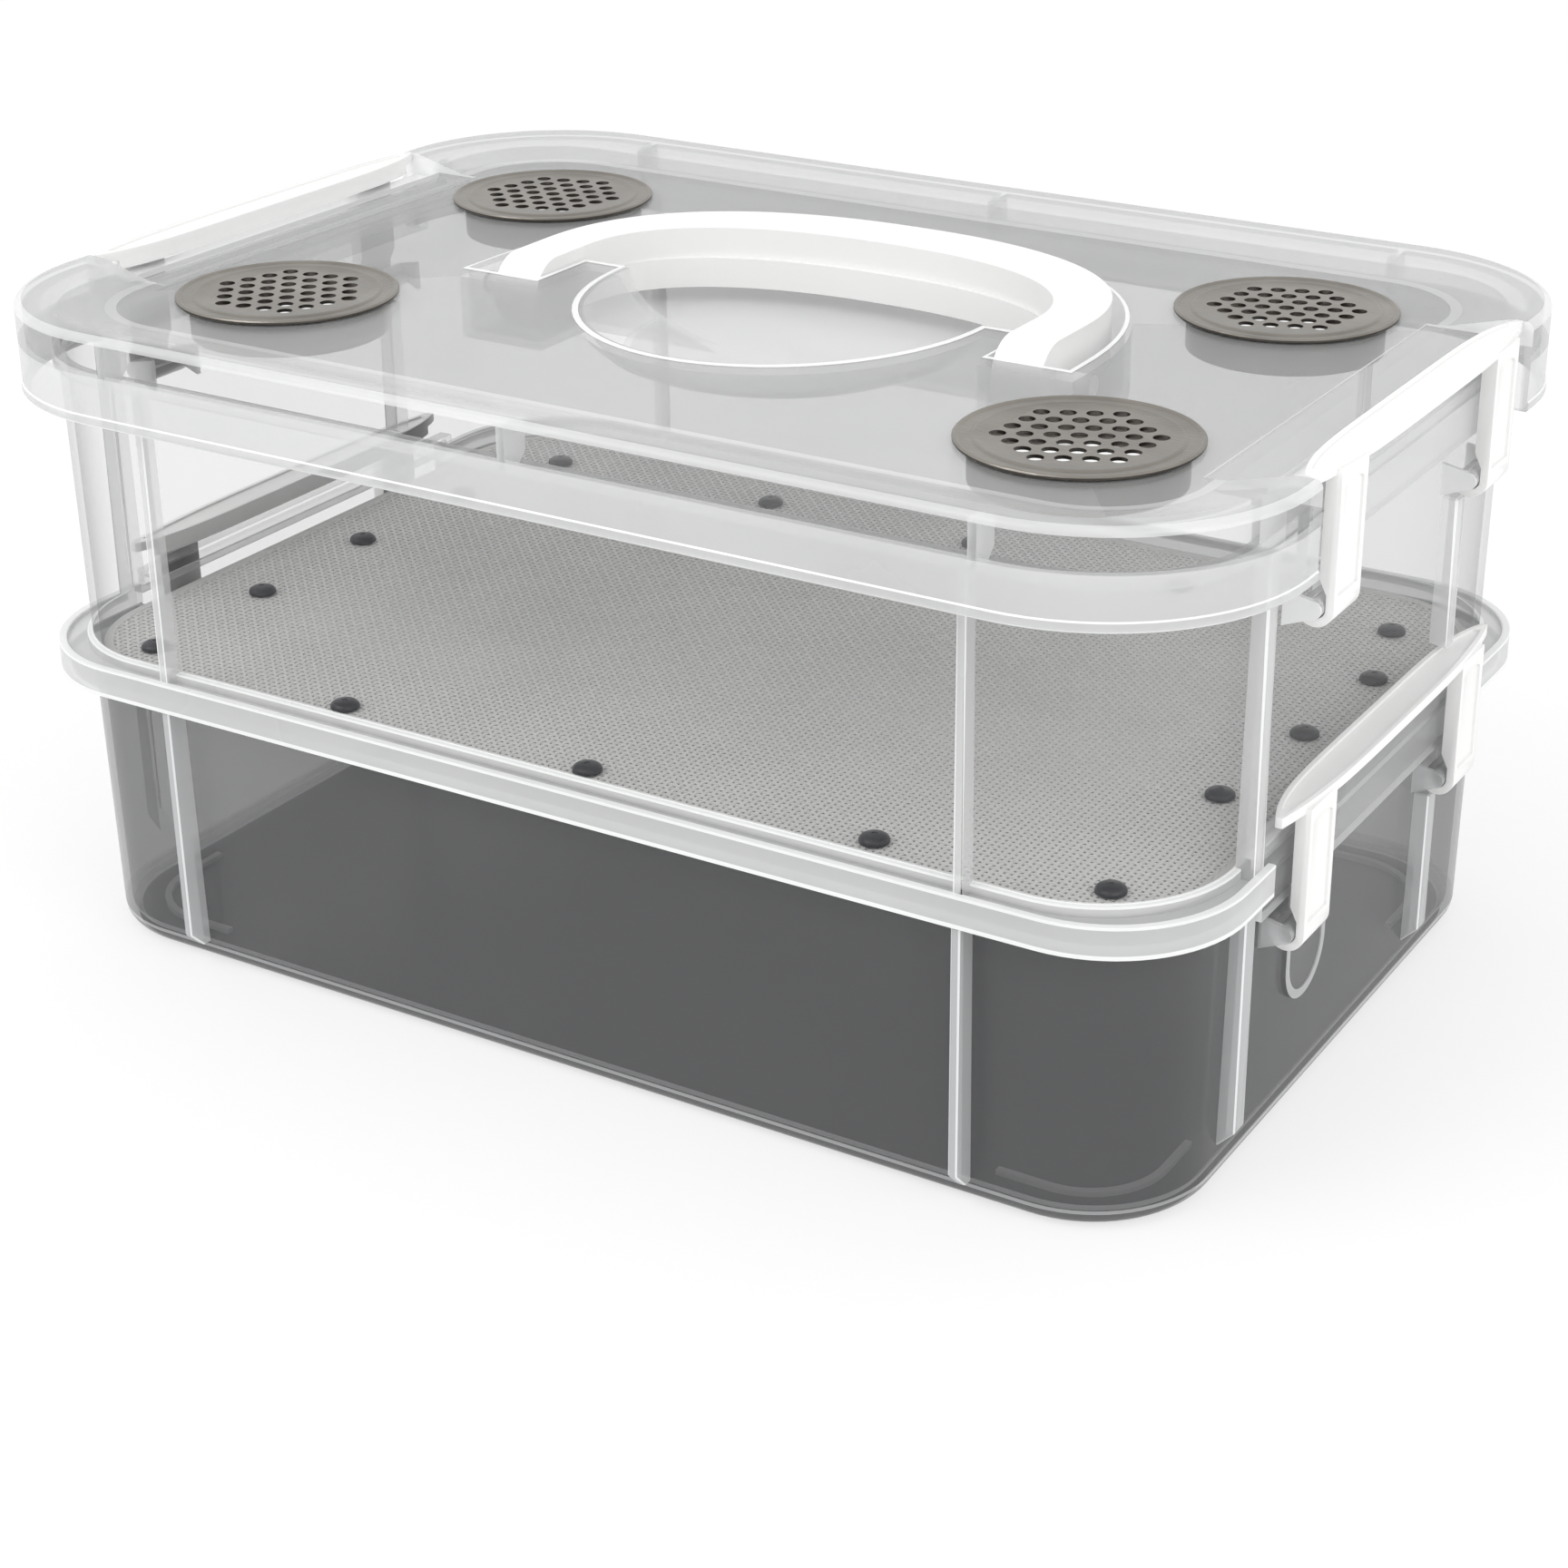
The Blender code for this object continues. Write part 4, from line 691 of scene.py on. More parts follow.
def long_wall_ribs(
    prefix: str, half: float, out: float, bottom: float, top: float, foot: float
) -> list[bpy.types.Object]:
    """The thin upright ribs on both long walls of one box.

    Args:
        prefix: The start of the tools' names.
        half: The wall's half length.
        out: How far out the ribs stand.
        bottom: Their lower end.
        top: Their upper end.
        foot: The height of the slant at the foot.

    Returns:
        The solids to join to the box.
    """
    root = half - PLAN.length_over_width - EMBED
    profile = [(root, bottom), (out - foot, bottom), (out, bottom + foot), (out, top), (root, top)]
    tools = []
    for wall in LONG_WALLS:
        for side in (1, -1):
            middle, width = side * PLAN.front_rib_x, PLAN.front_rib_width / 2
            tools.append(
                wall_prism(f"{prefix}_{wall.name}_{side}", wall, profile, middle - width, middle + width)
            )
            soften_edges(tools[-1], PLAN.front_rib_bevel, 1)
    return tools


def short_wall_ribs(
    prefix: str, half: float, middle: float, bottom: float, top: float, foot: float
) -> list[bpy.types.Object]:
    """One broad upright rib on each short wall, with the same arguments as the long walls' ribs."""
    root, out = half - EMBED, half + PLAN.side_rib_rise
    profile = [(root, bottom), (out - foot, bottom), (out, bottom + foot), (out, top), (root, top)]
    width = PLAN.side_rib_width / 2
    tools = [
        wall_prism(f"{prefix}_{wall.name}", wall, profile, middle - width, middle + width)
        for wall in SHORT_WALLS
    ]
    for tool in tools:
        soften_edges(tool, PLAN.side_rib_bevel, 1)
    return tools


def on_rib(centre: Vector) -> bool:
    """Whether a face belongs to an upright rib."""
    aside = abs(abs(centre.x) - PLAN.front_rib_x)
    long_rib = abs(centre.y) > PLAN.rib_from[0] and aside < PLAN.front_rib_near
    near = min(abs(centre.y - PLAN.side_rib_front), abs(centre.y - PLAN.side_rib_back))
    return long_rib or (abs(centre.x) > PLAN.rib_from[1] and near < PLAN.side_rib_width * PLAN.side_rib_share)


def rib_look(normal: Vector) -> Look:
    """Painted highlight along a rib's bevelled edges, and clearer between them."""
    slanted = SLANT[0] < abs(normal.x) < SLANT[1] and abs(normal.y) > SLANT[0]
    return Looks.HIGHLIGHT_AND_PALE if slanted else Looks.RIB


@dataclass
class LowerTub:
    """The deep tub: walls and floor darkened with painted shade, pale ribs, rim and corner lines."""

    wall_top: float = 0.1724
    edge: float = 0.0055
    thickness: float = 0.0020
    floor: float = 0.0024
    rim_width: float = 0.0045
    rim_depth: float = 0.0018
    rim_gap_half: float = 0.0722
    rib_out: float = 0.1219
    bead_inset: float = 0.0090
    bead_width: float = 0.0020
    bead_rise: float = 0.0014
    bead_tail: float = 0.0140
    loop_span: Point2 = (-0.0440, -0.0190)
    loop_heights: Point2 = (0.0325, 0.0575)
    loop_width: float = 0.0024
    loop_rise: float = 0.0018
    tongue_rise: float = 0.0014
    floor_zone: Point2 = (0.168, 0.0045)
    foot_line: Point2 = (0.0040, 0.0056)
    rim_zone: float = 0.0795
    detail_from: float = 0.0012
    bead_from: float = 0.0002
    front_rib_foot: float = 0.0060
    front_rib_slant: float = 0.0050
    side_rib_foot: float = 0.0120

    def shell(self) -> bpy.types.Object:
        """The tub's walls, floor and rim."""
        foot = PLAN.lower_foot
        top = PLAN.seat_bottom - GAP
        rim_bottom, rim_out = top - self.rim_depth, self.wall_top + self.rim_width
        inner_edge = self.edge - self.thickness
        outside = quarter_arc((foot - self.edge, self.edge), self.edge, -math.pi / 2, 8)
        outside.append((self.wall_top, rim_bottom))
        inside = [(self.wall_top - self.thickness, top)]
        inside += reversed(
            quarter_arc((foot - self.edge, self.floor + inner_edge), inner_edge, -math.pi / 2, 6)
        )
        rings = PLAN.rings(outside, foot, PLAN.lower_corner)
        rings += PLAN.rings([(rim_out, rim_bottom), (rim_out, top)], PLAN.flange_half, PLAN.flange_corner)
        rings += PLAN.rings(inside, foot, PLAN.lower_corner)
        tub = loft("lower_box_moulding", rings)
        notch = block(
            PLAN.catch_panel_out - PLAN.panel_thickness - GAP, rim_out + OVERRUN, PLAN.flange_bottom,
            PLAN.upper_top,
        )
        cuts = [
            wall_prism(f"rim_{wall.name}", wall, notch, -self.rim_gap_half, self.rim_gap_half)
            for wall in SHORT_WALLS
        ]
        combine(tub, cuts, Join.CUT)
        return tub

    def floor_beads(self) -> list[bpy.types.Object]:
        """Raised corner lines on the floor."""
        inner_half = PLAN.lower_foot - self.thickness
        corner = PLAN.lower_corner - self.thickness
        outer = corner - self.bead_inset
        inner = outer - self.bead_width
        centre = Vector(
            (inner_half - corner, inner_half - PLAN.length_over_width - corner, self.floor - EMBED)
        )
        turns = [math.pi / 2 * step / 12 for step in range(13)]
        outline = [centre + Vector((outer, -self.bead_tail, 0))]
        outline += [centre + Vector((outer * math.cos(turn), outer * math.sin(turn), 0)) for turn in turns]
        outline += [
            centre + Vector((-self.bead_tail, outer, 0)), centre + Vector((-self.bead_tail, inner, 0))
        ]
        outline += [
            centre + Vector((inner * math.cos(turn), inner * math.sin(turn), 0)) for turn in turns[::-1]
        ]
        outline.append(centre + Vector((inner, -self.bead_tail, 0)))
        tools = []
        for side_x in (1, -1):
            for side_y in (1, -1):
                points = [Vector((side_x * point.x, side_y * point.y, point.z)) for point in outline]
                tools.append(
                    prism(f"floor_bead_{side_x}_{side_y}", points, Vector((0, 0, EMBED + self.bead_rise)))
                )
        return tools

    def loop_ribs(self) -> list[bpy.types.Object]:
        """A U-shaped raised line on each short wall."""
        middle = sum(self.loop_span) / 2
        outer = (self.loop_span[1] - self.loop_span[0]) / 2
        inner = outer - self.loop_width
        low, high = self.loop_heights
        bend = low + outer
        turns = [math.pi + math.pi * step / 24 for step in range(25)]
        outline = [(middle - outer, high)]
        outline += [(middle + outer * math.cos(turn), bend + outer * math.sin(turn)) for turn in turns]
        outline += [(middle + outer, high), (middle + inner, high)]
        outline += [(middle + inner * math.cos(turn), bend + inner * math.sin(turn)) for turn in turns[::-1]]
        outline.append((middle - inner, high))
        reach = inner + EMBED / 2
        tongue = [(middle + reach, high), (middle - reach, high)]
        tongue += [(middle + reach * math.cos(turn), bend + reach * math.sin(turn)) for turn in turns]
        tools = []
        for side in (1, -1):
            for name, edge, rise in (
                ("loop_rib", outline, self.loop_rise), ("tongue", tongue, self.tongue_rise)
            ):
                points = [Vector((side * (PLAN.lower_foot - EMBED), along, height)) for along, height in edge]
                tools.append(prism(f"{name}_{side}", points, Vector((side * (rise + EMBED), 0, 0))))
        return tools

    def look(self, centre: Vector, normal: Vector) -> Look:
        """How hazy and pale each face is."""
        reach = PLAN.reach(centre, PLAN.lower_foot, PLAN.lower_corner)
        if on_rib(centre) and centre.z > self.floor_zone[1]:
            return rib_look(normal)
        if centre.z > self.rim_zone:
            return Looks.LOWER_RIM
        # Painted shade: the floor under the woven floor is dark and nearly opaque; its raised beads stay
        # pale.
        if reach < self.floor_zone[0] and centre.z < self.floor_zone[1]:
            return Looks.FLOOR_BEAD if centre.z > self.floor + self.bead_from else Looks.LOWER_FLOOR_SHADE
        if centre.z < self.foot_line[0]:
            return Looks.FOOT_EDGE
        if centre.z < self.foot_line[1]:
            return Looks.FOOT_LINE
        if reach > PLAN.lower_foot + self.detail_from:
            on_tongue = abs(reach - PLAN.lower_foot - self.tongue_rise) < NEAR
            return Looks.TONGUE if on_tongue else Looks.LOWER_DETAIL
        # Painted shade: the clear walls are tinted dark.
        return Looks.LOWER_WALL_SHADE

    def build(self, finishes: Finishes) -> None:
        """Builds, dresses and mounts the tub."""
        tub = self.shell()
        top, foot = PLAN.flange_bottom - GAP, PLAN.lower_foot
        hook_bottom = PLAN.lower_pivot[1] - PLAN.hook_outer - PLAN.rib_clearance
        low, rise = self.side_rib_foot, PLAN.side_rib_rise
        slant = self.front_rib_slant
        tools = long_wall_ribs("lower_rib", foot, self.rib_out, self.front_rib_foot, top, slant)
        tools += short_wall_ribs("lower_front", foot, PLAN.side_rib_front, low, top, rise)
        tools += short_wall_ribs("lower_back", foot, PLAN.side_rib_back, low, hook_bottom, rise)
        tools += hinge_bars("lower_hinge", PLAN.lower_pivot, foot)
        tools += self.loop_ribs() + self.floor_beads()
        combine(tub, tools, Join.ADD)
        paint(tub, self.look)
        dress(tub, finishes.shade_darkened)
        mount(tub, "lower_tier", ["lower_box"])


@dataclass
class UpperTub:
    """The upper tub: clear walls, a ledge round the open floor and a flange that sleeves the lower tub."""

    flange_top: float = 0.0876
    flange_wall: float = 0.0020
    lip_width: float = 0.0022
    groove_depth: float = 0.0014
    base_ring_width: float = 0.0016
    base_ring_top: float = 0.0889
    ledge_half: float = 0.1325
    ledge_corner: float = 0.0120
    wall_top: float = 0.1734
    thickness: float = 0.0020
    bead_width: float = 0.0016
    bead_depth: float = 0.0036
    rib_out: float = 0.1209
    panel_bottom: float = 0.0720
    panel_zone: Point2 = (0.0722, 0.0975)
    panel_from: float = 0.1745
    wall_zone: Point2 = (0.0895, 0.1662)
    ledge_zone: Point2 = (0.1712, 0.0845)
    edge_zone: Point2 = (0.1765, 0.0868)
    base_line: Point2 = (0.0884, 0.0892)
    lip_below: float = 0.0803
    detail_from: float = 0.1742

    def shell(self) -> bpy.types.Object:
        """The tub's walls, ledge and flange."""
        foot, top = PLAN.upper_foot, PLAN.upper_top
        groove = self.flange_top - self.groove_depth
        bead_out, bead_bottom = self.wall_top + self.bead_width, top - self.bead_depth
        lip_inner = PLAN.flange_half - self.lip_width
        lip = [(PLAN.flange_half, PLAN.flange_bottom), (PLAN.flange_half, PLAN.flange_bottom + 0.0010)]
        lip += [(PLAN.flange_half, self.flange_top - 0.0005), (PLAN.flange_half, self.flange_top)]
        lip += [(lip_inner, self.flange_top), (lip_inner, groove)]
        wall = [(foot + self.base_ring_width, groove), (foot + self.base_ring_width, self.base_ring_top)]
        wall += [
            (foot, self.base_ring_top), (self.wall_top, bead_bottom), (bead_out, bead_bottom), (bead_out, top)
        ]
        wall += [(self.wall_top - self.thickness, top), (foot - self.thickness, PLAN.ledge_top)]
        rings = PLAN.rings(rounded(lip, 0.0004), PLAN.flange_half, PLAN.flange_corner)
        rings += PLAN.rings(rounded(wall, 0.0005), foot, PLAN.upper_corner)
        rings.append(PLAN.ring(self.ledge_half, self.ledge_corner, PLAN.ledge_top))
        rings.append(PLAN.ring(self.ledge_half, self.ledge_corner, PLAN.seat_bottom))
        skirt_inner = PLAN.flange_half - self.flange_wall
        skirt = [(skirt_inner, PLAN.seat_bottom), (skirt_inner, PLAN.flange_bottom)]
        rings += PLAN.rings(skirt, PLAN.flange_half, PLAN.flange_corner)
        tub = loft("upper_box_moulding", rings, closed=True)
        clear = block(
            PLAN.catch_panel_out, PLAN.flange_half + OVERRUN, PLAN.flange_bottom - OVERRUN,
            self.flange_top + OVERRUN,
        )
        half = PLAN.notch_half
        combine(
            tub, [wall_prism(f"flange_{wall.name}", wall, clear, -half, half) for wall in SHORT_WALLS],
            Join.CUT,
        )
        return tub

    def look(self, centre: Vector, normal: Vector) -> Look:
        """How hazy and pale each face is."""
        reach = PLAN.reach(centre, PLAN.upper_foot, PLAN.upper_corner)
        at_latch = abs(centre.y) < PLAN.notch_half and reach > self.panel_from and abs(normal.x) > ON_AXIS
        if at_latch and self.panel_zone[0] < centre.z < self.panel_zone[1]:
            return Looks.CATCH_PANEL
        if on_rib(centre) and self.wall_zone[0] < centre.z < self.wall_zone[1]:
            return rib_look(normal)
        if reach < self.ledge_zone[0] and centre.z < self.ledge_zone[1]:
            return Looks.LEDGE
        # Painted highlights along the lip's lower edge, the flange's top edges and the base ring; the same
        # test also paints the hinge bars pale, their own colour.
        on_edge = reach > self.edge_zone[0] and centre.z > self.edge_zone[1]
        if centre.z < self.lip_below or on_edge or self.base_line[0] < centre.z < self.base_line[1]:
            return Looks.HIGHLIGHT_AND_PALE
        if centre.z < self.wall_zone[0]:
            return Looks.FLANGE
        if centre.z > self.wall_zone[1]:
            return Looks.UPPER_TOP
        return Looks.UPPER_DETAIL if reach > self.detail_from else Looks.UPPER_WALL

    def build(self, finishes: Finishes) -> None:
        """Builds, dresses and mounts the tub."""
        tub = self.shell()
        foot = PLAN.upper_foot
        groove = self.flange_top - self.groove_depth
        bead_bottom = PLAN.upper_top - self.bead_depth
        catch_top = PLAN.lower_pivot[1] + PLAN.catch_height
        inner = PLAN.catch_panel_out - PLAN.panel_thickness
        panel = [
            (inner, self.panel_bottom), (PLAN.catch_panel_out, self.panel_bottom),
            (PLAN.catch_panel_out, catch_top),
        ]
        panel += [(foot - EMBED, catch_top), (foot - EMBED, catch_top - PLAN.panel_thickness)]
        panel.append((inner, catch_top - PLAN.panel_thickness))
        half = PLAN.notch_half + SIDE_LAP
        tools = [
            wall_prism(f"catch_{wall.name}", wall, panel, -half, half) for wall in SHORT_WALLS
        ]
        tools += long_wall_ribs("upper_rib", foot, self.rib_out, groove - EMBED, bead_bottom + EMBED, 0)
        tools += short_wall_ribs(
            "upper_front", foot, PLAN.side_rib_front, groove - EMBED, bead_bottom + EMBED, 0
        )
        back_top = PLAN.upper_pivot[1] - PLAN.hook_outer - PLAN.rib_clearance
        back_bottom = PLAN.lower_pivot[1] + PLAN.latch_top + PLAN.catch_clearance
        tools += short_wall_ribs("upper_back", foot, PLAN.side_rib_back, back_bottom, back_top, 0)
        tools += hinge_bars("upper_hinge", PLAN.upper_pivot, foot)
        combine(tub, tools, Join.ADD)
        paint(tub, self.look)
        dress(tub, finishes.clear)
        mount(tub, "upper_tier", ["upper_box"])


def geometry_tree(name: str, inputs: Sequence[tuple[str, str]]) -> tuple[
    bpy.types.NodeTree, Graph, dict[str, bpy.types.NodeSocket]
]:
    """Starts a Geometry Nodes tree.

    Args:
        name: The tree's name.
        inputs: The (name, socket type) of each named input.

    Returns:
        The tree, its graph, and the inner sockets of its inputs by name.
    """
    tree = bpy.data.node_groups.new(name, "GeometryNodeTree")
    tree.interface.new_socket("Geometry", in_out="INPUT", socket_type="NodeSocketGeometry")
    for label, kind in inputs:
        tree.interface.new_socket(label, in_out="INPUT", socket_type=kind)
    tree.interface.new_socket("Geometry", in_out="OUTPUT", socket_type="NodeSocketGeometry")
    graph = Graph(tree)
    given = graph.add("NodeGroupInput")
    return tree, graph, {socket.name: socket for socket in given.outputs if socket.name}


def end_tree(graph: Graph, shape: bpy.types.NodeSocket, material: bpy.types.NodeSocket) -> None:
    """Ends a tree in real, dressed geometry."""
    real = graph.add("GeometryNodeRealizeInstances")
    graph.join(shape, real.inputs["Geometry"])
    coat = graph.add("GeometryNodeSetMaterial")
    graph.join(real.outputs["Geometry"], coat.inputs["Geometry"])
    graph.join(material, coat.inputs["Material"])
    result = graph.add("NodeGroupOutput")
    graph.join(coat.outputs["Geometry"], result.inputs["Geometry"])


def run_tree(
    name: str, tree: bpy.types.NodeTree, points: Sequence[Vector], values: dict[str, object]
) -> bpy.types.Object:
    """Runs a tree on a set of points and keeps the result as a plain mesh.

    Args:
        name: The finished object's name.
        tree: The tree to run.
        points: The places that it starts from.
        values: Each input's value by name.

    Returns:
        The finished object, without modifiers.
    """
    mesh = bpy.data.meshes.new(name)
    mesh.from_pydata([tuple(point) for point in points], [], [])
    item = new_object(name, mesh)
    modifier = item.modifiers.new(tree.name, "NODES")
    modifier.node_group = tree
    for socket in tree.interface.items_tree:
        if socket.item_type == "SOCKET" and socket.in_out == "INPUT" and socket.name in values:
            modifier[socket.identifier] = values[socket.name]
    result = evaluated_mesh(item)
    item.modifiers.clear()
    item.data = result
    return item


@dataclass
class WovenFloor:
    """The woven panel: two sets of wires that pass over and under each other, in a thin hem."""

    pitch: float = 0.0019
    wire_width: float = 0.00105
    wire_thickness: float = 0.00032
    wave: float = 0.00016
    hem_width: float = 0.0026
    hem_edge: float = 0.0002

    def wire_tree(self) -> bpy.types.NodeTree:
        """The tree that draws one set of wires inside a rounded rectangle."""
        tree, graph, given = geometry_tree(
            "woven_wires",
            [
                ("Half Length", "NodeSocketFloat"),
                ("Half Width", "NodeSocketFloat"),
                ("Corner", "NodeSocketFloat"),
                ("Pitch", "NodeSocketFloat"),
                ("Wire Width", "NodeSocketFloat"),
                ("Wire Thickness", "NodeSocketFloat"),
                ("Wave", "NodeSocketFloat"),
                ("Height", "NodeSocketFloat"),
                ("Crosswise", "NodeSocketFloat"),
                ("Material", "NodeSocketMaterial"),
            ],
        )
        length = graph.math("MULTIPLY", given["Half Length"], 2.0)
        width = graph.math("MULTIPLY", given["Half Width"], 2.0)
        columns = graph.math("FLOOR", graph.math("DIVIDE", length, given["Pitch"]))
        rows = graph.math("FLOOR", graph.math("DIVIDE", width, given["Pitch"]))
        grid = graph.add("GeometryNodeMeshGrid")
        for source, target in (
            (length, "Size X"), (width, "Size Y"), (columns, "Vertices X"), (rows, "Vertices Y")
        ):
            graph.join(source, grid.inputs[target])
        index = graph.add("GeometryNodeInputIndex").outputs["Index"]
        column = graph.math("FLOOR", graph.math("DIVIDE", graph.math("ADD", index, 0.5), rows))
        row = graph.math("SUBTRACT", index, graph.math("MULTIPLY", column, rows))
        odd = graph.math("MODULO", graph.math("ADD", graph.math("ADD", column, row), given["Crosswise"]), 2.0)
        swing = graph.math("SUBTRACT", graph.math("MULTIPLY", graph.math("ROUND", odd), 2.0), 1.0)
        lift = graph.math("ADD", graph.math("MULTIPLY", swing, given["Wave"]), given["Height"])
        offset = graph.add("ShaderNodeCombineXYZ")
        graph.join(lift, offset.inputs["Z"])
        ends = graph.add("GeometryNodeInputMeshEdgeVertices")
        step = graph.vector("SUBTRACT", ends.outputs["Position 1"], ends.outputs["Position 2"])
        parts = graph.add("ShaderNodeSeparateXYZ")
        graph.join(step.outputs["Vector"], parts.inputs["Vector"])
        across = graph.math("ABSOLUTE", parts.outputs["Y"])
        along = graph.math("ABSOLUTE", parts.outputs["X"])
        away = graph.math(
            "ADD",
            graph.math("MULTIPLY", across, graph.math("SUBTRACT", 1.0, given["Crosswise"])),
            graph.math("MULTIPLY", along, given["Crosswise"]),
        )
        cut = graph.add("GeometryNodeDeleteGeometry", domain="EDGE", mode="EDGE_FACE")
        graph.join(grid.outputs["Mesh"], cut.inputs["Geometry"])
        graph.join(graph.math("GREATER_THAN", away, 0.0001), cut.inputs["Selection"])
        straight = graph.add("ShaderNodeCombineXYZ")
        graph.join(graph.math("SUBTRACT", given["Half Length"], given["Corner"]), straight.inputs["X"])
        graph.join(graph.math("SUBTRACT", given["Half Width"], given["Corner"]), straight.inputs["Y"])
        here = graph.add("GeometryNodeInputPosition").outputs["Position"]
        folded = graph.vector("ABSOLUTE", here).outputs["Vector"]
        beyond = graph.vector("SUBTRACT", folded, straight.outputs["Vector"]).outputs["Vector"]
        corner = graph.vector("MAXIMUM", beyond, (0.0, 0.0, 0.0)).outputs["Vector"]
        flat = graph.vector("MULTIPLY", corner, (1.0, 1.0, 0.0)).outputs["Vector"]
        outside = graph.math("GREATER_THAN", graph.vector("LENGTH", flat).outputs["Value"], given["Corner"])
        trim = graph.add("GeometryNodeDeleteGeometry", domain="POINT", mode="ALL")
        graph.join(outside, trim.inputs["Selection"])
        raised = graph.add("GeometryNodeSetPosition")
        graph.join(trim.outputs["Geometry"], raised.inputs["Geometry"])
        stored = graph.add("GeometryNodeStoreNamedAttribute", data_type="FLOAT_VECTOR", domain="POINT")
        stored.inputs["Name"].default_value = "raised"
        graph.join(cut.outputs["Geometry"], stored.inputs["Geometry"])
        graph.join(offset.outputs["Vector"], stored.inputs["Value"])
        graph.join(stored.outputs["Geometry"], trim.inputs["Geometry"])
        held = graph.add("GeometryNodeInputNamedAttribute", data_type="FLOAT_VECTOR")
        held.inputs["Name"].default_value = "raised"
        graph.join(held.outputs["Attribute"], raised.inputs["Offset"])
        curve = graph.add("GeometryNodeMeshToCurve")
        graph.join(raised.outputs["Geometry"], curve.inputs["Mesh"])
        upright = graph.add("GeometryNodeSetCurveNormal", mode="Z_UP")
        graph.join(curve.outputs["Curve"], upright.inputs["Curve"])
        section = graph.add("GeometryNodeCurvePrimitiveQuadrilateral")
        graph.join(given["Wire Width"], section.inputs["Width"])
        graph.join(given["Wire Thickness"], section.inputs["Height"])
        wire = graph.add("GeometryNodeCurveToMesh")
        graph.join(upright.outputs["Curve"], wire.inputs["Curve"])
        graph.join(section.outputs["Curve"], wire.inputs["Profile Curve"])
        wire.inputs["Fill Caps"].default_value = True
        end_tree(graph, wire.outputs["Mesh"], given["Material"])
        return tree

    def wires(self, tree: bpy.types.NodeTree, run: Run, finishes: Finishes) -> None:
        """Builds and mounts the wires of one direction."""
        inner = PLAN.mesh_half - self.hem_width / 2
        values = {
            "Half Length": inner,
            "Half Width": inner - PLAN.length_over_width,
            "Corner": PLAN.mesh_corner - self.hem_width / 2,
            "Pitch": self.pitch,
            "Wire Width": self.wire_width,
            "Wire Thickness": self.wire_thickness,
            "Wave": self.wave,
            "Height": (PLAN.mesh_bottom + PLAN.mesh_top) / 2,
            "Crosswise": float(run.value),
            "Material": finishes.woven,
        }
        item = run_tree(f"woven_floor_{run.name.lower()}", tree, [Vector((0, 0, 0))], values)
        dress(item, finishes.woven)
        mount(item, "upper_tier", ["mesh_floor"])

    def hem(self, finishes: Finishes) -> None:
        """Builds and mounts the thin edge strip."""
        low, high = PLAN.mesh_half - self.hem_width, PLAN.mesh_half
        base, top, edge = PLAN.mesh_bottom, PLAN.mesh_top, self.hem_edge
        section = [
            (low, base), (high, base), (high, top - edge), (high - edge, top), (low + edge, top),
            (low, top - edge),
        ]
        item = loft("woven_floor_hem", PLAN.rings(section, PLAN.mesh_half, PLAN.mesh_corner), closed=True)
        dress(item, finishes.woven)
        mount(item, "upper_tier", ["mesh_floor"])

    def build(self, finishes: Finishes) -> None:
        """Builds both sets of wires and the hem."""
        tree = self.wire_tree()
        for run in Run:
            self.wires(tree, run, finishes)
        self.hem(finishes)


